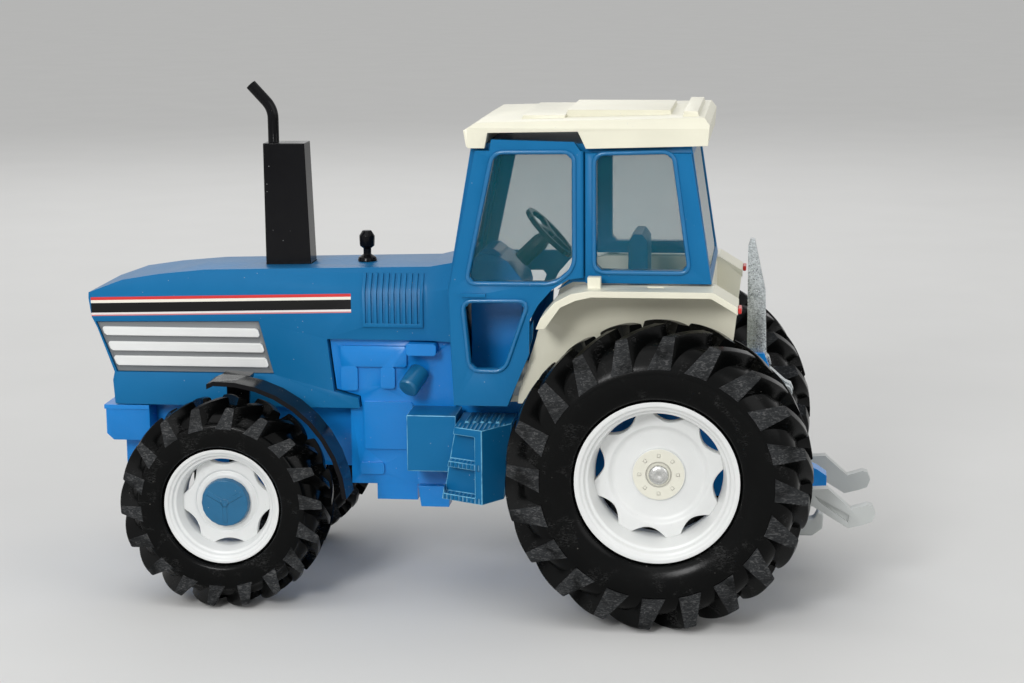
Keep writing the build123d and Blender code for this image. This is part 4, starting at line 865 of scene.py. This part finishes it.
def bead_grid(outline, face, side):
    """A circle of BEAD_RADIUS carried round an outline in a plane of constant distance out."""
    path = rounded_profile(outset(outline, BEAD_OUTSET), 2.2, 6, closed=True)
    run = np.roll(path, -1, 0) - np.roll(path, 1, 0)
    run /= np.linalg.norm(run, axis=1, keepdims=True)
    normal = np.stack([run[:, 1], -run[:, 0]], 1)
    turn = np.linspace(0, 2 * np.pi, 12, endpoint=False)
    inward = BEAD_RADIUS * np.cos(turn)[None, :, None] * normal[:, None, :]
    place = path[:, None, :] + inward
    out = np.broadcast_to(side * (face + BEAD_RADIUS * np.sin(turn)), place.shape[:2])
    return np.stack([place[..., 0], out, place[..., 1]], -1)


for side_name, side in (("left", 1), ("right", -1)):
    for name, (owner, face, outline) in WINDOWS.items():
        node = owner if owner in nodes else f"{owner}_{side_name}"
        surface(f"{name}_bead_{side_name}", [(bead_grid(outline, face, side), True, True)], bead_blue,
                body_of[node], sharp=60.0)

# %% [markdown]
# ## Floor and light
#
# The toy stands on a plain pale floor that runs out far enough to fill the view. A broad,
# soft sun lights the whole floor evenly. A small lamp near the camera puts crisp highlights on
# the flank, and two weaker ones fill the front and the back. The camera, reflections and the
# glazing all see one bright plain world, so metal shows the same background as the view. What
# that world gives as light is kept lower, so that pale plastic doesn't clip to white.

# %% Floor
FLOOR_SIZE = 14.0
corner = FLOOR_SIZE * np.array([(-1, -1, 0), (1, -1, 0), (1, 1, 0), (-1, 1, 0)], float)
floor_mesh = bpy.data.meshes.new("floor")
floor_mesh.from_pydata(corner.tolist(), [], [(0, 1, 2, 3)])
floor = bpy.data.objects.new("floor", floor_mesh)
bpy.context.scene.collection.objects.link(floor)
ground = Finish("floor_board", (0.70, 0.70, 0.69), 0.80, specular_ior_level=0.0)
ground.set("Base Color", ground.mix((0.68, 0.68, 0.67), (0.72, 0.72, 0.71), ground.noise(40.0, 4.0)))
floor_mesh.materials.append(ground.material)


# %% Lamps and world
def soft_lamp(name, place, target, size, power, kind="AREA"):
    """A square lamp, or a sun as wide as size radians, that faces its target."""
    data = bpy.data.lights.new(name, kind)
    if kind == "AREA":
        data.size = size
    else:
        data.angle = size
    data.energy = power
    lamp = bpy.data.objects.new(name, data)
    lamp.location = place
    lamp.rotation_euler = (Vector(target) - Vector(place)).to_track_quat("-Z", "Y").to_euler()
    bpy.context.scene.collection.objects.link(lamp)


soft_lamp("broad_sun", (0.5, 1.2, 2.2), (0.0, 0.0, 0.0), math.radians(50), 0.58, "SUN")
soft_lamp("key_lamp", (0.16, 0.62, 0.34), (0.0, 0.0, 0.05), 0.16, 2.0)
soft_lamp("fill_lamp", (-0.55, 0.35, 0.35), (0.0, 0.0, 0.04), 0.40, 0.8)
soft_lamp("back_lamp", (0.15, -0.60, 0.55), (0.0, 0.0, 0.05), 0.50, 1.2)

LIGHT_GIVEN, LIGHT_SEEN = 0.50, 0.80
world = bpy.data.worlds.new("pale_room")
bpy.context.scene.world = world
world.use_nodes = True
sky = world.node_tree
sky.nodes.clear()
path = sky.nodes.new("ShaderNodeLightPath")
level = LIGHT_GIVEN
for ray in ("Is Glossy Ray", "Is Transmission Ray", "Is Camera Ray"):
    choose = sky.nodes.new("ShaderNodeMix")          # the level so far, or what this ray sees
    choose.data_type = "FLOAT"
    sky.links.new(path.outputs[ray], choose.inputs[0])
    if isinstance(level, float):
        choose.inputs[2].default_value = level
    else:
        sky.links.new(level, choose.inputs[2])
    choose.inputs[3].default_value = LIGHT_SEEN
    level = choose.outputs[0]
background = sky.nodes.new("ShaderNodeBackground")
background.inputs["Color"].default_value = (1.0, 1.0, 1.0, 1.0)
sky.links.new(level, background.inputs["Strength"])
world_output = sky.nodes.new("ShaderNodeOutputWorld")
sky.links.new(background.outputs[0], world_output.inputs[0])
